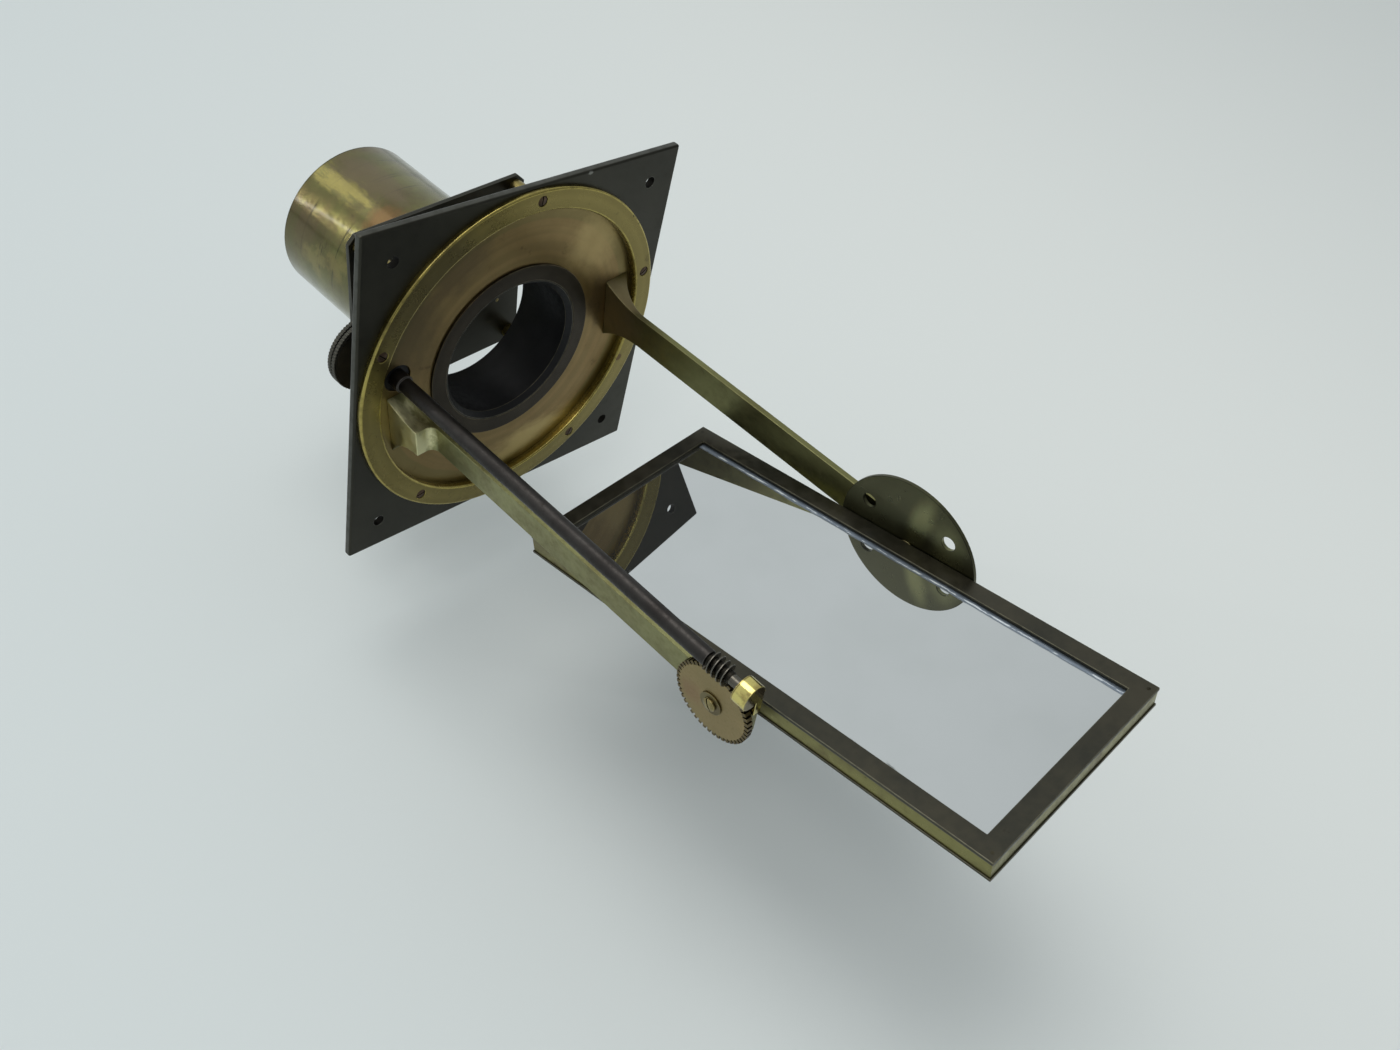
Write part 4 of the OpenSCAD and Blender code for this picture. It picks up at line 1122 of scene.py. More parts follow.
WORM = Finish(
    "worm_grey", "rod_steel", (0.150, 0.140, 0.118), (0.095, 0.085, 0.070), (0.30, 0.285, 0.25),
    rough=(0.24, 0.36), scale=120.0, softness=0.3, wear_and_sheen=0.8)
SCREW_DARK = Finish(
    "dark_screw", "screw_steel", (0.105, 0.068, 0.045), (0.060, 0.042, 0.030), (0.26, 0.20, 0.13),
    scale=300.0)
SCREW_BRASS = Finish(
    "brass_screw", "screw_brass", (0.34, 0.28, 0.13), (0.22, 0.18, 0.08), (0.50, 0.42, 0.2),
    rough=(0.22, 0.36), scale=300.0, wear_and_sheen=0.6)
PIN = Finish(
    "dull_pin", "screw_brass", (0.070, 0.062, 0.040), (0.050, 0.044, 0.030), (0.12, 0.11, 0.08),
    scale=300.0, wear_and_sheen=0.8)
KNOB = Finish(
    "dark_knob", "blackened_brass", (0.050, 0.049, 0.041), (0.074, 0.070, 0.056), (0.13, 0.125, 0.10),
    rough=(0.34, 0.48), scale=60.0, metallic=0.85, wear_and_sheen=0.7, marks=Marks.TURNED)
PILLAR = Finish(
    "pillar_brass", "arm_brass", (0.34, 0.28, 0.10), (0.24, 0.19, 0.07), (0.5, 0.42, 0.17),
    rough=(0.24, 0.36))


class Workshop:
    """Turns shapes into finished pieces that ride on the model's bodies."""

    def __init__(self, painter: Painter, stance: Stance) -> None:
        """Takes the painter and the instrument's stance."""
        self.painter, self.stance, self.seats = painter, stance, stance.seats()

    def finish(self, shape: Shape, name: str, body: Body, finish: Finish, seat: Seat, *nodes: str,
               sharp: float = 40.0) -> None:
        """Places a shape, paints it and lets it stand for its CAD nodes.

        Args:
            shape: The shape, in millimetres, in its own frame; it is freed.
            name: The new piece's name.
            body: The body that it moves with.
            finish: Its finish.
            seat: Its own frame.
            *nodes: The CAD nodes that it replaces.
            sharp: Angle from which an edge is shaded sharp, in degrees.
        """
        mesh = shape.place(Matrix.Scale(MM, 4) @ seat.place).give(name)
        for polygon in mesh.polygons:
            polygon.use_smooth = True
        mesh.set_sharp_from_angle(angle=math.radians(sharp))
        mesh.materials.append(self.painter.metal(finish, seat))
        piece = add_object(name, mesh)
        piece.modifiers.new("even shading", "WEIGHTED_NORMAL").keep_sharp = True
        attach(piece, body.value)
        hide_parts(*nodes)
        self.report(piece, nodes)

    def report(self, piece: bpy.types.Object, nodes: Sequence[str]) -> None:
        """Logs a piece and how far its box is from its CAD nodes' box.

        Args:
            piece: The piece.
            nodes: The CAD nodes.
        """
        boxes = [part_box(node) for node in nodes]
        off = 0.0
        for i in range(3):
            along = [v.co[i] for v in piece.data.vertices]
            off = max(off, abs(min(along) - min(b[0][i] for b in boxes)),
                      abs(max(along) - max(b[1][i] for b in boxes)))
        LOG.info("%s: %d faces, box off by %.2f mm", piece.name, len(piece.data.polygons), off / MM)


@dataclass(frozen=True)
class SlottedScrew:
    """A screw with a slotted, slightly domed head, whose flat base is at z = 0.

    The height is the head's at its rim, the dome is how far its middle stands above the rim, and the
    slot's depth is below the rim. The rounding of its edges is a share of its radius.
    """

    radius: float
    height: float
    dome: float
    slot: float
    deep: float
    shank: float
    length: float
    edge: float = 0.035

    def make(self, angle: float) -> Shape:
        """Makes the screw.

        Args:
            angle: The slot's angle in degrees.

        Returns:
            The screw.
        """
        radius, dome, top = self.radius, self.dome, self.height + self.dome
        ball = (radius * radius + dome * dome) / (2 * dome)
        profile = [(0.0, -self.length), (self.shank, -self.length), (self.shank, 0.0), (radius, 0.0)]
        for k in (5, 4, 3, 2, 1, 0):
            rise = math.sqrt(ball * ball - (radius * k / 5) ** 2) - ball + dome
            profile.append((radius * k / 5, self.height + rise))
        screw = Shape().lathe(profile, steps=40, hollow=False)
        bottom = self.height - self.deep
        knife = Shape().block((2.4 * radius, self.slot, top), (0, 0, bottom + top / 2))
        across = Matrix.Rotation(math.radians(angle), 4, "Z")
        screw.carve(knife.place(across))

        def in_slot(face: Face) -> bool:
            """Whether a face lines the slot."""
            spot = across.inverted() @ middle(face)
            return abs(spot.y) <= self.slot / 2 + HAIR and spot.z > bottom - HAIR

        # The slot's faces get painted shade.
        return screw.soften(radius * self.edge, steps=1, sharper_than=50.0).mark(-1.0, in_slot)


@dataclass
class WindowPlate:
    """The square plate, the ring that holds the disc, and the ring's screws.

    What lies within the side band of the plate's edge counts as its side, and the corner holes stay
    further in than the hole margin.
    """

    shop: Workshop
    half: float = 76.0
    thickness: float = 3.6
    corner: float = 1.0
    edge: float = 0.3
    side_band: float = 0.6
    side_painted_sheen: float = 0.63
    bore: float = 68.03
    lip: float = 66.33
    lip_depth: float = 2.75
    hole: float = 2.4
    hole_inset: float = 13.75
    hole_margin: float = 5.0
    sink: float = 0.4
    ring_outer: float = 74.7
    ring_inner: float = 65.4
    ring_lip: float = 68.0
    ring_front: float = 2.1
    ring_seat: float = 0.2
    ring_edge: float = 0.9
    ring_back: float = 1.7
    screw: SlottedScrew = SlottedScrew(radius=2.17, height=0.62, dome=0.24, slot=0.5, deep=0.45,
                                       shank=1.3, length=4.3)
    screw_play: float = 0.1
    screw_hole_edge: float = 0.12
    screw_circle: float = 70.25
    screw_phase: float = 16.0
    screw_count: int = 5
    screw_sunk: float = 0.9
    slot_start: float = 35.0
    slot_step: float = 52.0

    def build(self) -> None:
        """Makes the three pieces."""
        self.plate()
        self.ring()
        self.screws()

    def screw_places(self) -> list[Point]:
        """Centres of the ring screws, seen from the sun."""
        turns = [math.radians(self.screw_phase + 360 * i / self.screw_count) for i in range(self.screw_count)]
        return [(self.screw_circle * math.cos(a), self.screw_circle * math.sin(a)) for a in turns]

    def plate(self) -> None:
        """The square plate with its stepped bore and four countersunk corner holes."""
        shape, at = Shape(), self.half - self.hole_inset
        loops = shape.rectangle(2 * self.half, 2 * self.half) + shape.circle(self.bore, steps=160)
        for x in (-at, at):
            for y in (-at, at):
                loops += shape.circle(self.hole, steps=32, centre=(x, y))
        shape.fill(loops, -self.thickness)
        shape.soften(self.corner, steps=4, where=ends(
            lambda v: min(abs(v.co.x), abs(v.co.y)) > self.half - HAIR)).mark(0.0, lambda f: True)
        shape.soften(self.sink, steps=1, where=ends(
            lambda v: v.co.z < -self.thickness + HAIR and reach(v) > self.bore + NEAR
            and max(abs(v.co.x), abs(v.co.y)) < self.half - self.hole_margin))

        def outside(co: Vector) -> bool:
            """Whether a point is on the plate's sides."""
            return max(abs(co.x), abs(co.y)) > self.half - self.side_band

        shape.soften(self.edge, where=ends(lambda v: outside(v.co) or (
            reach(v) > self.bore + NEAR and v.co.x * v.co.y > 0 and v.co.z > -HAIR)))
        # The plate's sides get a painted sheen in the third colour, lighter as if they caught the light.
        shape.mark(self.side_painted_sheen, lambda f: steep(f) and outside(middle(f)) and f[shape.worn] == 0.0)
        # The walls of the bore and the corner holes get painted shade.
        shape.mark(-1.0, lambda f: steep(f, 0.5) and not outside(middle(f)) and middle(f).z < -self.sink)
        shape.join(Shape().collar(self.lip, self.bore, -self.lip_depth, -self.thickness))
        self.shop.finish(shape, "shutter_plate", Body.PLATE, BRONZED, self.shop.seats["sun_face"],
                         "window_plate")

    def ring(self) -> None:
        """The flat ring with its lip and screw holes."""
        shape, inner, outer, seat = Shape(), self.ring_inner, self.ring_outer, -self.ring_seat
        loops = shape.circle(outer, steps=192, z=seat) + shape.circle(inner, steps=160, z=seat)
        for place in self.screw_places():
            loops += shape.circle(self.screw.radius + self.screw_play, steps=28, centre=place, z=seat)
        shape.fill(loops, self.ring_front + self.ring_seat)
        shape.soften(self.ring_edge, steps=4, where=ends(
            lambda v: v.co.z > 0 and not inner + NEAR <= reach(v) <= outer - NEAR))
        shape.soften(self.screw_hole_edge, steps=1, where=ends(lambda v: v.co.z > 0))
        # The ring's inner and outer walls get a painted sheen in the third colour.
        shape.mark(1.0, lambda f: steep(f) and middle(f).z > 0
                   and not inner + NEAR < middle(f).xy.length < outer - NEAR)
        shape.join(Shape().collar(inner, self.ring_lip, seat, -self.ring_back))
        self.shop.finish(shape, "holding_ring", Body.PLATE, RING, self.shop.seats["sun_face"],
                         "retaining_ring")

    def screws(self) -> None:
        """The slotted screws, each with its slot turned another way."""
        screws = Shape()
        for i, (x, y) in enumerate(self.screw_places()):
            head = self.screw.make(self.slot_start + self.slot_step * i)
            screws.join(head.place(Matrix.Translation((x, y, self.ring_front - self.screw_sunk))))
        self.shop.finish(screws, "ring_screw_heads", Body.PLATE, SCREW_DARK, self.shop.seats["sun_face"],
                         "ring_screws")


@dataclass
class TurningDisc:
    """The turning disc with its dark collar and light tube."""

    shop: Workshop
    face: float = 1.8
    back: float = 4.8
    rim: float = 67.78
    rim_back: float = 2.65
    radius: float = 66.08
    hole: float = 31.83
    bush_hole: float = 5.83
    bush_edge: float = 0.15
    collar_inner: float = 33.0
    collar_outer: float = 39.9
    collar_front: float = 0.9
    collar_edge: float = 0.25
    tube_inner: float = 30.4
    tube_outer: float = 31.8
    tube_mouth: float = 32.97
    tube_mouth_depth: float = 0.1
    tube_lip: float = 0.5
    tube_throat: float = 1.4
    tube_edge: float = 0.12
    tube_end: float = 30.9

    def build(self) -> None:
        """Makes the disc, the collar and the tube, in the disc's turned frame."""
        self.disc()
        self.collar()
        self.tube()

    def disc(self) -> None:
        """The disc with its stepped rim, its aperture and the hole for the rod's bush."""
        disc, bush = Shape(), Vector((self.shop.stance.rod[0], self.shop.stance.rod[2]))
        loops = disc.circle(self.radius, steps=160, z=-self.face) + disc.circle(self.hole, z=-self.face)
        loops += disc.circle(self.bush_hole, steps=48, centre=bush, z=-self.face)
        disc.fill(loops, self.face - self.back)
        disc.soften(self.bush_edge, steps=1, where=ends(
            lambda v: (v.co.xy - bush).length < self.bush_hole + NEAR))
        disc.join(Shape().collar(self.radius, self.rim, -self.face, -self.rim_back))
        self.shop.finish(disc, "lathe_turned_disc", Body.TURNTABLE, DISC, self.shop.seats["disc"],
                         "turning_disc")

    def collar(self) -> None:
        """The flat collar around the aperture."""
        collar = Shape().collar(self.collar_inner, self.collar_outer, -self.face, -self.collar_front,
                                steps=128)
        collar.soften(self.collar_edge, where=lambda e: e.verts[0].co.z > -self.face + NEAR)
        self.shop.finish(collar, "flat_collar", Body.TURNTABLE, COLLAR, self.shop.seats["disc"],
                         "aperture_collar")

    def tube(self) -> None:
        """The short tube with its bevelled mouth."""
        mouth = -self.collar_front - self.tube_mouth_depth
        tube = Shape().lathe([
            (self.tube_inner, -self.face - self.tube_throat), (self.tube_mouth - self.tube_lip, mouth),
            (self.tube_mouth, mouth), (self.tube_mouth, -self.face), (self.tube_outer, -self.face),
            (self.tube_outer, -self.tube_end), (self.tube_inner, -self.tube_end)], steps=128)
        tube.soften(self.tube_edge, sharper_than=35.0, where=lambda e: reach(e.verts[0])
                    > self.tube_inner + NEAR or e.verts[0].co.z > NEAR - self.tube_end)
        self.shop.finish(tube, "light_tube", Body.TURNTABLE, BLACKENED, self.shop.seats["disc"], "short_tube")


@dataclass
class Arms:
    """The two arms with their feet."""

    shop: Workshop
    edge: float = 0.28

    def build(self) -> None:
        """Makes both arms."""
        seat = self.shop.seats["disc"]
        for side, finish in (("left", ARM), ("right", RIGHT_ARM)):
            arm = Shape.from_node(f"{side}_arm").place(seat.place.inverted())
            arm.soften(self.edge, sharper_than=40.0)
            self.shop.finish(arm, f"{side}_mirror_arm", Body.TURNTABLE, finish, seat, f"{side}_arm",
                             sharp=50.0)


@dataclass
class WormDrive:
    """The tilt rod with its worm, the knob, and the toothed wheel."""

    shop: Workshop
    rod: float = 3.1
    rod_edge: float = 0.3
    collar: float = 3.8
    collar_end: float = 2.7
    collar_back: float = -2.5
    tenon: float = 2.2
    tenon_short: float = 2.0
    tenon_play: float = 0.03
    knob_y: float = 18.7
    knob_t: float = 4.6
    knob_r: float = 16.3
    knob_groove: float = 15.4
    knob_overlap: float = 1.0
    knob_rim: float = 1.75
    knob_edge: float = 0.25
    rib_count: int = 72
    rib_height: float = 0.35
    rib_crest: Point = (0.3, 0.7)
    rib_edge: float = 0.12
    knob_screw: SlottedScrew = SlottedScrew(radius=3.4, height=1.1, dome=0.5, slot=0.7, deep=0.7,
                                            shank=1.4, length=7.0)
    knob_slot: float = 40.0
    worm_front: float = 174.9
    worm_back: float = 164.7
    worm_edge: float = 0.3
    worm_r: float = 4.02
    worm_root: float = 2.35
    worm_start: float = -90.0
    pitch: float = 2.16
    thread_tip: float = 0.4
    thread_root: float = 0.85
    thread_edge: float = 0.09
    root_painted_shade: float = -0.85
    journal: float = 1.9
    journal_overlap: float = 1.0
    journal_end: float = 183.68
    teeth: int = 46
    tooth_tip: float = 1.3
    tooth_edge: float = 0.1
    gap_root: float = 0.55
    gap_painted_shade: float = -0.9
    lead: float = 5.946
    wheel_r: float = 16.556
    wheel_root: float = 14.864
    wheel_bore: float = 2.53
    wheel_t: float = 2.6
    wheel_mid: float = -53.9
    wheel_screw_x: float = -55.8
    wheel_screw: SlottedScrew = SlottedScrew(radius=2.7, height=0.85, dome=0.5, slot=0.6, deep=0.6,
                                             shank=1.0, length=5.0)
    wheel_slot: float = 30.0

    def build(self) -> None:
        """Makes the rod, worm, knob and wheel, and their screws."""
        self.spindle()
        self.worm()
        self.knob()
        self.wheel()
        self.end_screws()

    def spindle(self) -> None:
        """The rod with its collar, along the sunward axis."""
        end = self.tenon_short - self.knob_y - self.knob_t
        rod = Shape().lathe([
            (0.0, self.worm_back), (self.rod, self.worm_back), (self.rod, self.collar_end),
            (self.collar, self.collar_end), (self.collar, self.collar_back), (self.rod, self.collar_back),
            (self.rod, -self.knob_y), (self.tenon, -self.knob_y), (self.tenon, end), (0.0, end)],
            steps=64, hollow=False)
        rod.soften(self.rod_edge, steps=3, sharper_than=50.0,
                   where=lambda e: e.verts[0].co.z > 0 and level(e))
        self.shop.finish(rod, "tilt_rod_bar", Body.ROD, ROD, self.shop.seats["rod"], "worm_rod")

    def worm(self) -> None:
        """The worm at the rod's end, with its journal."""
        half, mid = (self.worm_front - self.worm_back) / 2, (self.worm_front + self.worm_back) / 2
        tail = self.journal_end - mid
        core = Shape().lathe([(0.0, half), (self.worm_root, half), (self.worm_root, -half), (0.0, -half)],
                             steps=48, hollow=False)
        # The root between the thread turns gets painted shade.
        core.soften(self.worm_edge).mark(self.root_painted_shade, lambda f: steep(f, 0.5))
        foot = half - self.journal_overlap
        core.join(Shape().lathe([(0.0, tail), (self.journal, tail), (self.journal, foot), (0.0, foot)],
                                steps=40, hollow=False))
        inner = self.worm_root - self.worm_edge
        section = [(inner, -self.thread_root / 2), (self.worm_r, -self.thread_tip / 2),
                   (self.worm_r, self.thread_tip / 2), (inner, self.thread_root / 2)]
        turns = (2 * half - self.thread_root) / self.pitch
        screw = Shape().thread(section, self.pitch, turns, self.worm_start)
        core.join(screw.soften(self.thread_edge, sharper_than=55.0,
                               where=ends(lambda v: reach(v) > self.worm_r - NEAR)))
        self.shop.finish(core, "worm_screw", Body.ROD, WORM, self.shop.seats["rod"].shifted("worm", mid),
                         "worm")

    def knob(self) -> None:
        """The knob with two ribbed rims and a narrow groove between them."""
        back, bore, face = -self.knob_t, self.tenon + self.tenon_play, self.knob_r - self.knob_overlap
        knob = Shape().lathe([
            (bore, 0.0), (face, 0.0), (face, -self.knob_edge), (self.knob_groove, -self.knob_edge),
            (self.knob_groove, back + self.knob_edge), (face, back + self.knob_edge), (face, back),
            (bore, back)])
        # The groove between the ribbed rims gets painted shade.
        knob.mark(-1.0, lambda f: steep(f) and abs(middle(f).xy.length - self.knob_groove) < NEAR)
        step, valley = 1 / self.rib_count, self.knob_r - self.rib_height
        rib = [(valley, 0.0), *((self.knob_r, share * step) for share in self.rib_crest), (valley, step)]
        for start in (-self.knob_edge, back + self.knob_edge + self.knob_rim):
            rim = Shape()
            loops = rim.toothed(rib, self.rib_count, start)
            rim.fill(loops + rim.circle(self.knob_groove - self.knob_overlap, z=start), -self.knob_rim)
            knob.join(rim.soften(self.rib_edge, steps=1,
                                 where=ends(lambda v: reach(v) > self.knob_groove)))
        self.shop.finish(knob, "ribbed_knob", Body.ROD, KNOB,
                         self.shop.seats["rod"].shifted("knob", -self.knob_y), "tilt_knob")

    def end_screws(self) -> None:
        """The slotted screws on the wheel and on the knob."""
        stance = self.shop.stance
        left = Matrix.Translation((self.wheel_screw_x, 0, 0))
        back = Matrix.Translation((0, self.knob_y + self.knob_t, 0))
        self.shop.finish(self.wheel_screw.make(self.wheel_slot), "wheel_screw_head", Body.MIRROR,
                         SCREW_BRASS, Seat("wheel_screw", stance.at_pivot() @ left @ LEFTWARD),
                         "wheel_screw")
        self.shop.finish(self.knob_screw.make(self.knob_slot), "knob_screw_head", Body.ROD,
                         SCREW_BRASS, Seat("knob_screw", stance.at_rod() @ back @ ROOMWARD), "knob_screw")

    def wheel(self) -> None:
        """The wheel with teeth that slant like the worm's thread."""
        step = 1 / self.teeth
        gap_root = self.gap_root / (2 * math.pi * self.wheel_root)
        gap_tip = step - self.tooth_tip / (2 * math.pi * self.wheel_r)
        tooth = [(self.wheel_root, -gap_root / 2), (self.wheel_root, gap_root / 2),
                 (self.wheel_r, gap_tip / 2), (self.wheel_r, step - gap_tip / 2),
                 (self.wheel_root, step - gap_root / 2)]
        wheel, low = Shape(), -self.wheel_t / 2
        loops = wheel.toothed(tooth, self.teeth, low)
        top = wheel.fill(loops + wheel.circle(self.wheel_bore, steps=40, z=low), self.wheel_t)
        bottom = [v for v in wheel.bm.verts if v not in set(top)]
        slant = math.tan(math.radians(self.lead)) * self.wheel_t / self.wheel_r
        for verts, turn in ((top, slant / 2), (bottom, -slant / 2)):
            bmesh.ops.rotate(wheel.bm, verts=verts, cent=(0, 0, 0), matrix=Matrix.Rotation(turn, 3, "Z"))
        wheel.soften(self.tooth_edge, steps=1,
                     where=lambda e: level(e) and reach(e.verts[0]) > self.wheel_bore + NEAR)
        # The walls of the gaps between the teeth get painted shade.
        wheel.mark(self.gap_painted_shade, lambda f: steep(f, 0.6)
                   and self.wheel_root - 3 * NEAR < middle(f).xy.length < self.wheel_r - 2 * NEAR)
        shift = Matrix.Translation((self.wheel_mid, 0, 0))
        self.shop.finish(wheel, "toothed_wheel", Body.MIRROR, WHEEL,
                         Seat("wheel", self.shop.stance.at_pivot() @ shift @ RIGHTWARD), "worm_wheel")


@dataclass
class MirrorFrame:
    """The mirror's front plate, rim and back plate, and the steady disc beside it."""

    shop: Workshop
    width: float = 92.8
    length: float = 210.8
    centre: Point = (1.42, 0.7)
    top: float = 3.7
    front_t: float = 1.5
    front_edge: float = 0.3
    bar: float = 7.4
    rim_inset: float = 0.3
    rim_wall: float = 3.6
    bottom: float = -5.2
    back_t: float = 1.1
    back_proud: float = 0.2
    back_edge: float = 0.25
    disc_inner: float = 48.17
    disc_t: float = 1.6
    disc_r: float = 30.8
    disc_bore: float = 2.53
    disc_edge: float = 0.2
    hole_r: float = 2.95
    hole_circle: float = 22.5
    hole_angle: float = 36.5

    def build(self) -> None:
        """Makes the frame's parts and the steady disc."""
        shop, seat, under = self.shop, self.shop.seats["mirror"], self.top - self.front_t
        bezel = self.hollow(0.0, self.bar, under, self.top).soften(self.front_edge)
        shop.finish(bezel, "mirror_front_plate", Body.MIRROR, BEZEL, seat, "mirror_bezel")
        rim = self.hollow(-self.rim_inset, self.rim_wall, self.bottom + self.back_t, under)
        shop.finish(rim.place(SUNWARD.inverted()), "mirror_side_rim", Body.MIRROR, RIM,
                    shop.seats["mirror_rim"], "mirror_rim")
        size = (self.width + 2 * self.back_proud, self.length + 2 * self.back_proud, self.back_t)
        back = Shape().block(size, (*self.centre, self.bottom + self.back_t / 2)).soften(self.back_edge)
        shop.finish(back, "mirror_back_plate", Body.MIRROR, BEZEL, seat, "mirror_back")
        self.steady_disc()

    def hollow(self, margin: float, bar: float, low: float, high: float) -> Shape:
        """Makes a rectangular frame.

        Args:
            margin: How far it reaches past the mirror frame's outline.
            bar: The width of its bars.
            low: Height of its underside.
            high: Height of its upper side.

        Returns:
            The frame.
        """
        frame = Shape()
        w, h = self.width + 2 * margin, self.length + 2 * margin
        loops = frame.rectangle(w, h, self.centre, low)
        frame.fill(loops + frame.rectangle(w - 2 * bar, h - 2 * bar, self.centre, low), high - low)
        return frame

    def steady_disc(self) -> None:
        """The perforated disc on the mirror's right side."""
        disc = Shape()
        loops = disc.circle(self.disc_r, steps=128) + disc.circle(self.disc_bore, steps=40)
        for side in (0, 180):
            for turn in (-self.hole_angle, self.hole_angle):
                a = math.radians(90 + side + turn)
                centre = (self.hole_circle * math.cos(a), self.hole_circle * math.sin(a))
                loops += disc.circle(self.hole_r, steps=36, centre=centre)
        disc.fill(loops, self.disc_t)
        shift = Matrix.Translation((self.disc_inner, 0, 0))
        self.shop.finish(disc.soften(self.disc_edge), "perforated_disc", Body.MIRROR, STEADY,
                         Seat("steady", self.shop.stance.tilted() @ shift @ RIGHTWARD), "steady_disc")


@dataclass
class RearTube:
    """The wide tube behind the stage plate."""

    shop: Workshop
    outer: float = 34.0
    inner: float = 32.8
    start: float = 50.2
    end: float = 111.0
    edge: float = 0.3
    seat: float = 0.6
    seat_end: float = 63.4

    def build(self) -> None:
        """Makes the rear tube."""
        tube = Shape().lathe([
            (self.inner + self.seat, self.start), (self.outer, self.start), (self.outer, self.end),
            (self.inner, self.end), (self.inner, self.seat_end), (self.inner + self.seat, self.seat_end)],
            steps=160)
        tube.soften(self.edge, where=lambda e: e.verts[0].co.z > self.end - NEAR)
        self.shop.finish(tube, "wide_brass_tube", Body.TURNTABLE, TUBE, self.shop.seats["tube"], "rear_tube")


@dataclass(frozen=True)
class MirrorSilver:
    """The silvered glass, with faint haze and a painted reflection of the bezel's inner wall along its right
    edge.

    The painted strip starts softly between two distances from the mirror's middle, and a row of painted
    glints runs down it, all in millimetres; away from the glints the strip is darker, as painted shade.
    """

    silver: Colour = (0.650, 0.668, 0.670)
    haze: Colour = (0.622, 0.642, 0.640)
    strip: Point = (37.7, 38.3)
    glints_at: float = 39.0
    glint: Colour = (0.85, 0.90, 0.94)
    reflection_near: Colour = (0.30, 0.35, 0.42)
    reflection_far: Colour = (0.125, 0.15, 0.18)
    reflection_rough: float = 0.55
    spot: Colour = (0.12, 0.13, 0.12)
    spots: tuple[Stain, ...] = (Stain((-37.2, -61.0, 0.0), (1.6, 5.0, 9.0), strength=0.6, ragged=2.4),
                                Stain((-37.4, -46.0, 0.0), (1.2, 4.0, 9.0), strength=0.5, ragged=2.4))
    metallic: float = 0.97

    def make(self, painter: Painter, seat: Seat) -> bpy.types.Material:
        """Makes the material.

        Args:
            painter: The painter, for its stains.
            seat: The mirror's own frame.

        Returns:
            The material.
        """
        graph = Surface("mirror_silver")
        vector = painter.local(graph, seat.place)
        cloud = graph.noise(vector, 22.0, detail=6.0)
        colour = graph.mix(graph.spread(cloud, 0.35, 0.7), self.silver, self.haze)
        wander = graph.times(graph.minus(graph.noise(vector, 110.0, detail=4.0), 0.5), 0.0011)
        across = graph.plus(graph.part(vector, "X"), wander)
        # The painted reflection of the bezel's inner wall: a rougher bluish strip, darker away from the
        # painted glints.
        wall_reflection = graph.spread(across, *(edge * MM for edge in self.strip))
        line = graph.math("ABSOLUTE", graph.minus(across, self.glints_at * MM))
        glint_noise = graph.noise(graph.scaled(vector, (1.0, 0.18, 1.0)), 800.0, detail=3.0)
        glints = graph.times(graph.spread(glint_noise, 0.48, 0.56), graph.spread(line, 0.0001, 0.0006, 1.0, 0.0))
        wall_reflection_colour = graph.mix(graph.spread(line, 0.0, 0.0013), self.reflection_near, self.reflection_far)
        colour = graph.mix(wall_reflection, colour, graph.mix(glints, wall_reflection_colour, self.glint))
        for spot in self.spots:
            colour = graph.mix(painter.patch(graph, vector, spot), colour, self.spot)
        clear = graph.spread(cloud, 0.5, 0.75, 0.006, 0.03)
        return graph.dress({"Base Color": colour, "Metallic": self.metallic,
                            "Roughness": graph.plus(clear, graph.times(wall_reflection, self.reflection_rough))})


@dataclass(frozen=True)
class LensGlass:
    """The clear glass of the lens, under a little dust."""

    clean: Colour = (0.93, 0.97, 0.96)
    dusty: Colour = (0.88, 0.93, 0.92)
    rough: Point = (0.01, 0.06)
    ior: float = 1.52

    def make(self) -> bpy.types.Material:
        """Makes the material.

        Returns:
            The material.
        """
        graph = Surface("lens_glass")
        dust = graph.noise(graph.coordinates(), 90.0, detail=6.0)
        return graph.dress({"Base Color": graph.mix(dust, self.clean, self.dusty),
                            "Roughness": graph.spread(dust, 0.5, 0.8, *self.rough), "Metallic": 0.0,
                            "Transmission Weight": 1.0, "IOR": self.ior})


@dataclass(frozen=True)
class DealBoard:
    """The thin deal board behind the mirror."""

    light: Colour = (0.30, 0.19, 0.10)
    dark: Colour = (0.19, 0.11, 0.05)
    rough: float = 0.7
    grain: Triple = (1.0, 0.06, 1.0)

    def make(self) -> bpy.types.Material:
        """Makes the material.

        Returns:
            The material.
        """
        graph = Surface("deal_board")
        grain = graph.noise(graph.scaled(graph.coordinates(), self.grain), 260.0, detail=6.0, rough=0.65)
        return graph.dress({"Base Color": graph.mix(graph.spread(grain, 0.35, 0.65), self.light, self.dark),
                            "Roughness": self.rough})


@dataclass(frozen=True)
class Lamp:
    """A rectangular soft light: where it stands, its two sides, its power and the point that it faces."""

    name: str
    spot: Triple
    size: Point
    power: float
    target: Triple = (0.0, 0.0, 0.0)
    colour: Colour = (1.0, 0.985, 0.95)

    def build(self) -> None:
        """Adds the lamp."""
        light = bpy.data.lights.new(self.name, "AREA")
        light.shape = "RECTANGLE"
        light.size, light.size_y = self.size
        light.energy, light.color = self.power, self.colour
        made = add_object(self.name, light)
        made.location = self.spot
        made.rotation_euler = (Vector(self.target) - Vector(self.spot)).to_track_quat("-Z", "Y").to_euler()


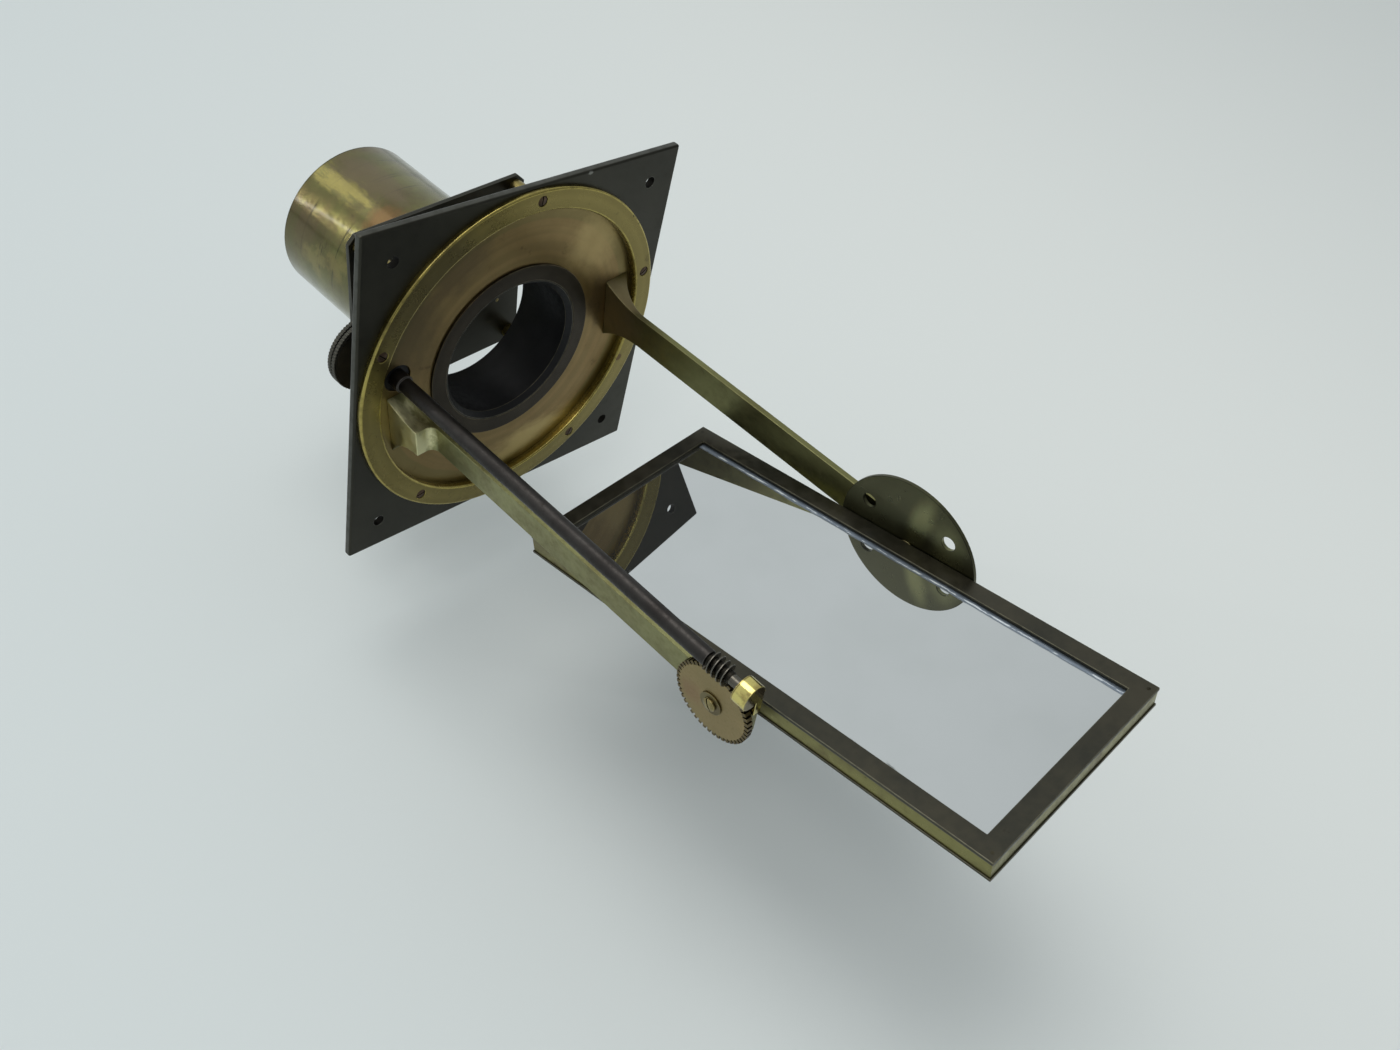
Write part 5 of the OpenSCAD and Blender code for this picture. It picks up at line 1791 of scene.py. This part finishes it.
@dataclass(frozen=True)
class Studio:
    """The pale floor, the soft light and the camera at the photograph's angle; lengths are metres."""

    floor_z: float = -0.125
    floor_size: float = 16.0
    floor_shaded_left: Colour = (0.72, 0.775, 0.785)
    floor_right: Colour = (0.87, 0.90, 0.885)
    floor_reach: Point = (-0.45, 0.65)
    floor_slant: float = 0.4
    floor_rough: float = 0.9
    floor_shine: float = 0.1
    sky_colour: Colour = (0.615, 0.652, 0.66)
    sky_dim: float = 0.42
    sky_bright: float = 1.13
    sky_reach: Point = (-0.7, 0.7)
    lamps: tuple[Lamp, ...] = (
        Lamp("overhead_softbox", (-0.25, 0.35, 1.90), (1.1, 1.1), 10.5, (0.0, -0.1, 0.0)),
        Lamp("rear_softbox", (-0.38, 1.16, 1.33), (0.5, 1.1), 1.1),
        Lamp("front_softbox", (-0.80, -0.55, 1.20), (0.45, 0.45), 2.6),
        Lamp("strip_light", (-0.98, 1.13, 0.78), (0.03, 1.15), 1.5))
    eye: Triple = (-0.29604, -0.30341, 0.31470)
    aim: Triple = (46.507, -12.059, -45.672)
    lens: float = 32.79
    sensor: float = 36.0
    clip: Point = (0.01, 40.0)

    def build(self) -> None:
        """Makes all of it."""
        self.floor()
        self.sky()
        for lamp in self.lamps:
            lamp.build()
        self.camera()

    def floor(self) -> None:
        """A level pale floor that fills the view, darkened towards the left as painted shade."""
        shape = Shape()
        bmesh.ops.create_grid(shape.bm, x_segments=2, y_segments=2, size=self.floor_size / 2,
                              matrix=Matrix.Translation((0, 0, self.floor_z)))
        graph = Surface("pale_floor")
        spot = graph.coordinates()
        across = graph.minus(graph.part(spot, "X"), graph.times(graph.part(spot, "Y"), self.floor_slant))
        colour = graph.mix(graph.spread(across, *self.floor_reach), self.floor_shaded_left, self.floor_right)
        floor = add_object("pale_floor", shape.give("pale_floor"))
        floor.data.materials.append(graph.dress({"Base Color": colour, "Roughness": self.floor_rough,
                                                 "Specular IOR Level": self.floor_shine}))

    def sky(self) -> None:
        """Soft light from all round, brighter from the rear than from the front."""
        world = bpy.data.worlds.new("studio")
        bpy.context.scene.world = world
        world.use_nodes = True
        graph = Graph(world.node_tree)
        back = graph.tree.nodes["Background"].inputs
        strength = graph.spread(graph.part(graph.coordinates("Generated"), "Y"), *self.sky_reach,
                                self.sky_dim, self.sky_bright)
        graph.feed_all((back["Color"], back["Strength"]), (self.sky_colour, strength))

    def camera(self) -> None:
        """Sets the camera where the photograph was taken from."""
        lens = bpy.data.cameras.new("view")
        lens.lens, lens.sensor_width, lens.sensor_fit = self.lens, self.sensor, "HORIZONTAL"
        lens.clip_start, lens.clip_end = self.clip
        camera = add_object("view", lens)
        camera.location = self.eye
        camera.rotation_euler = Euler([math.radians(a) for a in self.aim], "XYZ")
        bpy.context.scene.camera = camera
        bpy.context.scene.view_settings.view_transform = "Standard"


REFINED: dict[str, tuple[Body, Finish, str, float]] = {
    "arm_screws": (Body.TURNTABLE, SCREW_BRASS, "disc", 0.1),
    "rod_bush": (Body.TURNTABLE, BLACKENED, "disc", 0.2),
    "rod_end_bearing": (Body.TURNTABLE, POLISHED, "disc", 0.25),
    "bearing_screw": (Body.TURNTABLE, SCREW_BRASS, "disc", 0.1),
    "stage_pillars": (Body.TURNTABLE, PILLAR, "disc", 0.2),
    "stage_plate": (Body.TURNTABLE, BRONZED, "disc", 0.25),
    "stage_screws": (Body.TURNTABLE, SCREW_BRASS, "disc", 0.1),
    "tube_flange": (Body.TURNTABLE, TUBE, "tube", 0.2),
    "flange_screws": (Body.TURNTABLE, SCREW_BRASS, "disc", 0.07),
    "condenser_cell": (Body.TURNTABLE, BLACKENED, "tube", 0.15),
    "cell_ring": (Body.TURNTABLE, BLACKENED, "tube", 0.12),
    "bezel_pins": (Body.MIRROR, PIN, "mirror", 0.05),
    "mirror_spindle": (Body.MIRROR, ARM, "mirror", 0.15),
    "wheel_washer": (Body.MIRROR, WASHER, "wheel", 0.12),
    "right_stub": (Body.MIRROR, RIGHT_ARM, "mirror", 0.15),
    "disc_screws": (Body.MIRROR, SCREW_BRASS, "mirror", 0.07),
    "disc_spacer": (Body.MIRROR, RIGHT_ARM, "mirror", 0.15),
    "pivot_screw": (Body.MIRROR, SCREW_BRASS, "mirror", 0.1),
}


def refine_small_parts(shop: Workshop) -> None:
    """Rounds the edges of the small parts' own solids and gives them their finishes.

    Args:
        shop: The workshop.
    """
    for node, (body, finish, key, width) in REFINED.items():
        seat = shop.seats[key]
        shape = Shape.from_node(node).place(seat.place.inverted())
        shop.finish(shape.soften(width, sharper_than=42.0), f"{node}_finished", body, finish, seat, node)


def dress_kept_nodes(shop: Workshop) -> None:
    """Gives the mirror glass, the lens and the board, which stay as the CAD made them, their materials.

    Args:
        shop: The workshop.
    """
    for node, material in (("mirror_glass", MirrorSilver().make(shop.painter, shop.seats["mirror"])),
                           ("condenser_lens", LensGlass().make()), ("backing_board", DealBoard().make())):
        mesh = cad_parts[node].data
        mesh.materials.clear()
        mesh.materials.append(material)
        LOG.info("%s: keeps its shape", node)


def main() -> None:
    """Builds the classes in order."""
    logging.basicConfig(level=logging.INFO, format="%(message)s")
    Studio().build()
    shop = Workshop(Painter(Effects()), Stance())
    dress_kept_nodes(shop)
    refine_small_parts(shop)
    for group in (WindowPlate, TurningDisc, Arms, WormDrive, MirrorFrame, RearTube):
        group(shop).build()


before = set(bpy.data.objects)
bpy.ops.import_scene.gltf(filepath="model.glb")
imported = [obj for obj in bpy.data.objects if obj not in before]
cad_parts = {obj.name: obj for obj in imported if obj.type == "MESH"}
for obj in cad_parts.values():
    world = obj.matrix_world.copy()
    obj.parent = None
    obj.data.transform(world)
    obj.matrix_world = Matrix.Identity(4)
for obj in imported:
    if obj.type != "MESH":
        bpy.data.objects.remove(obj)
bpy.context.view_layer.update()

if __name__ == "__main__":
    main()
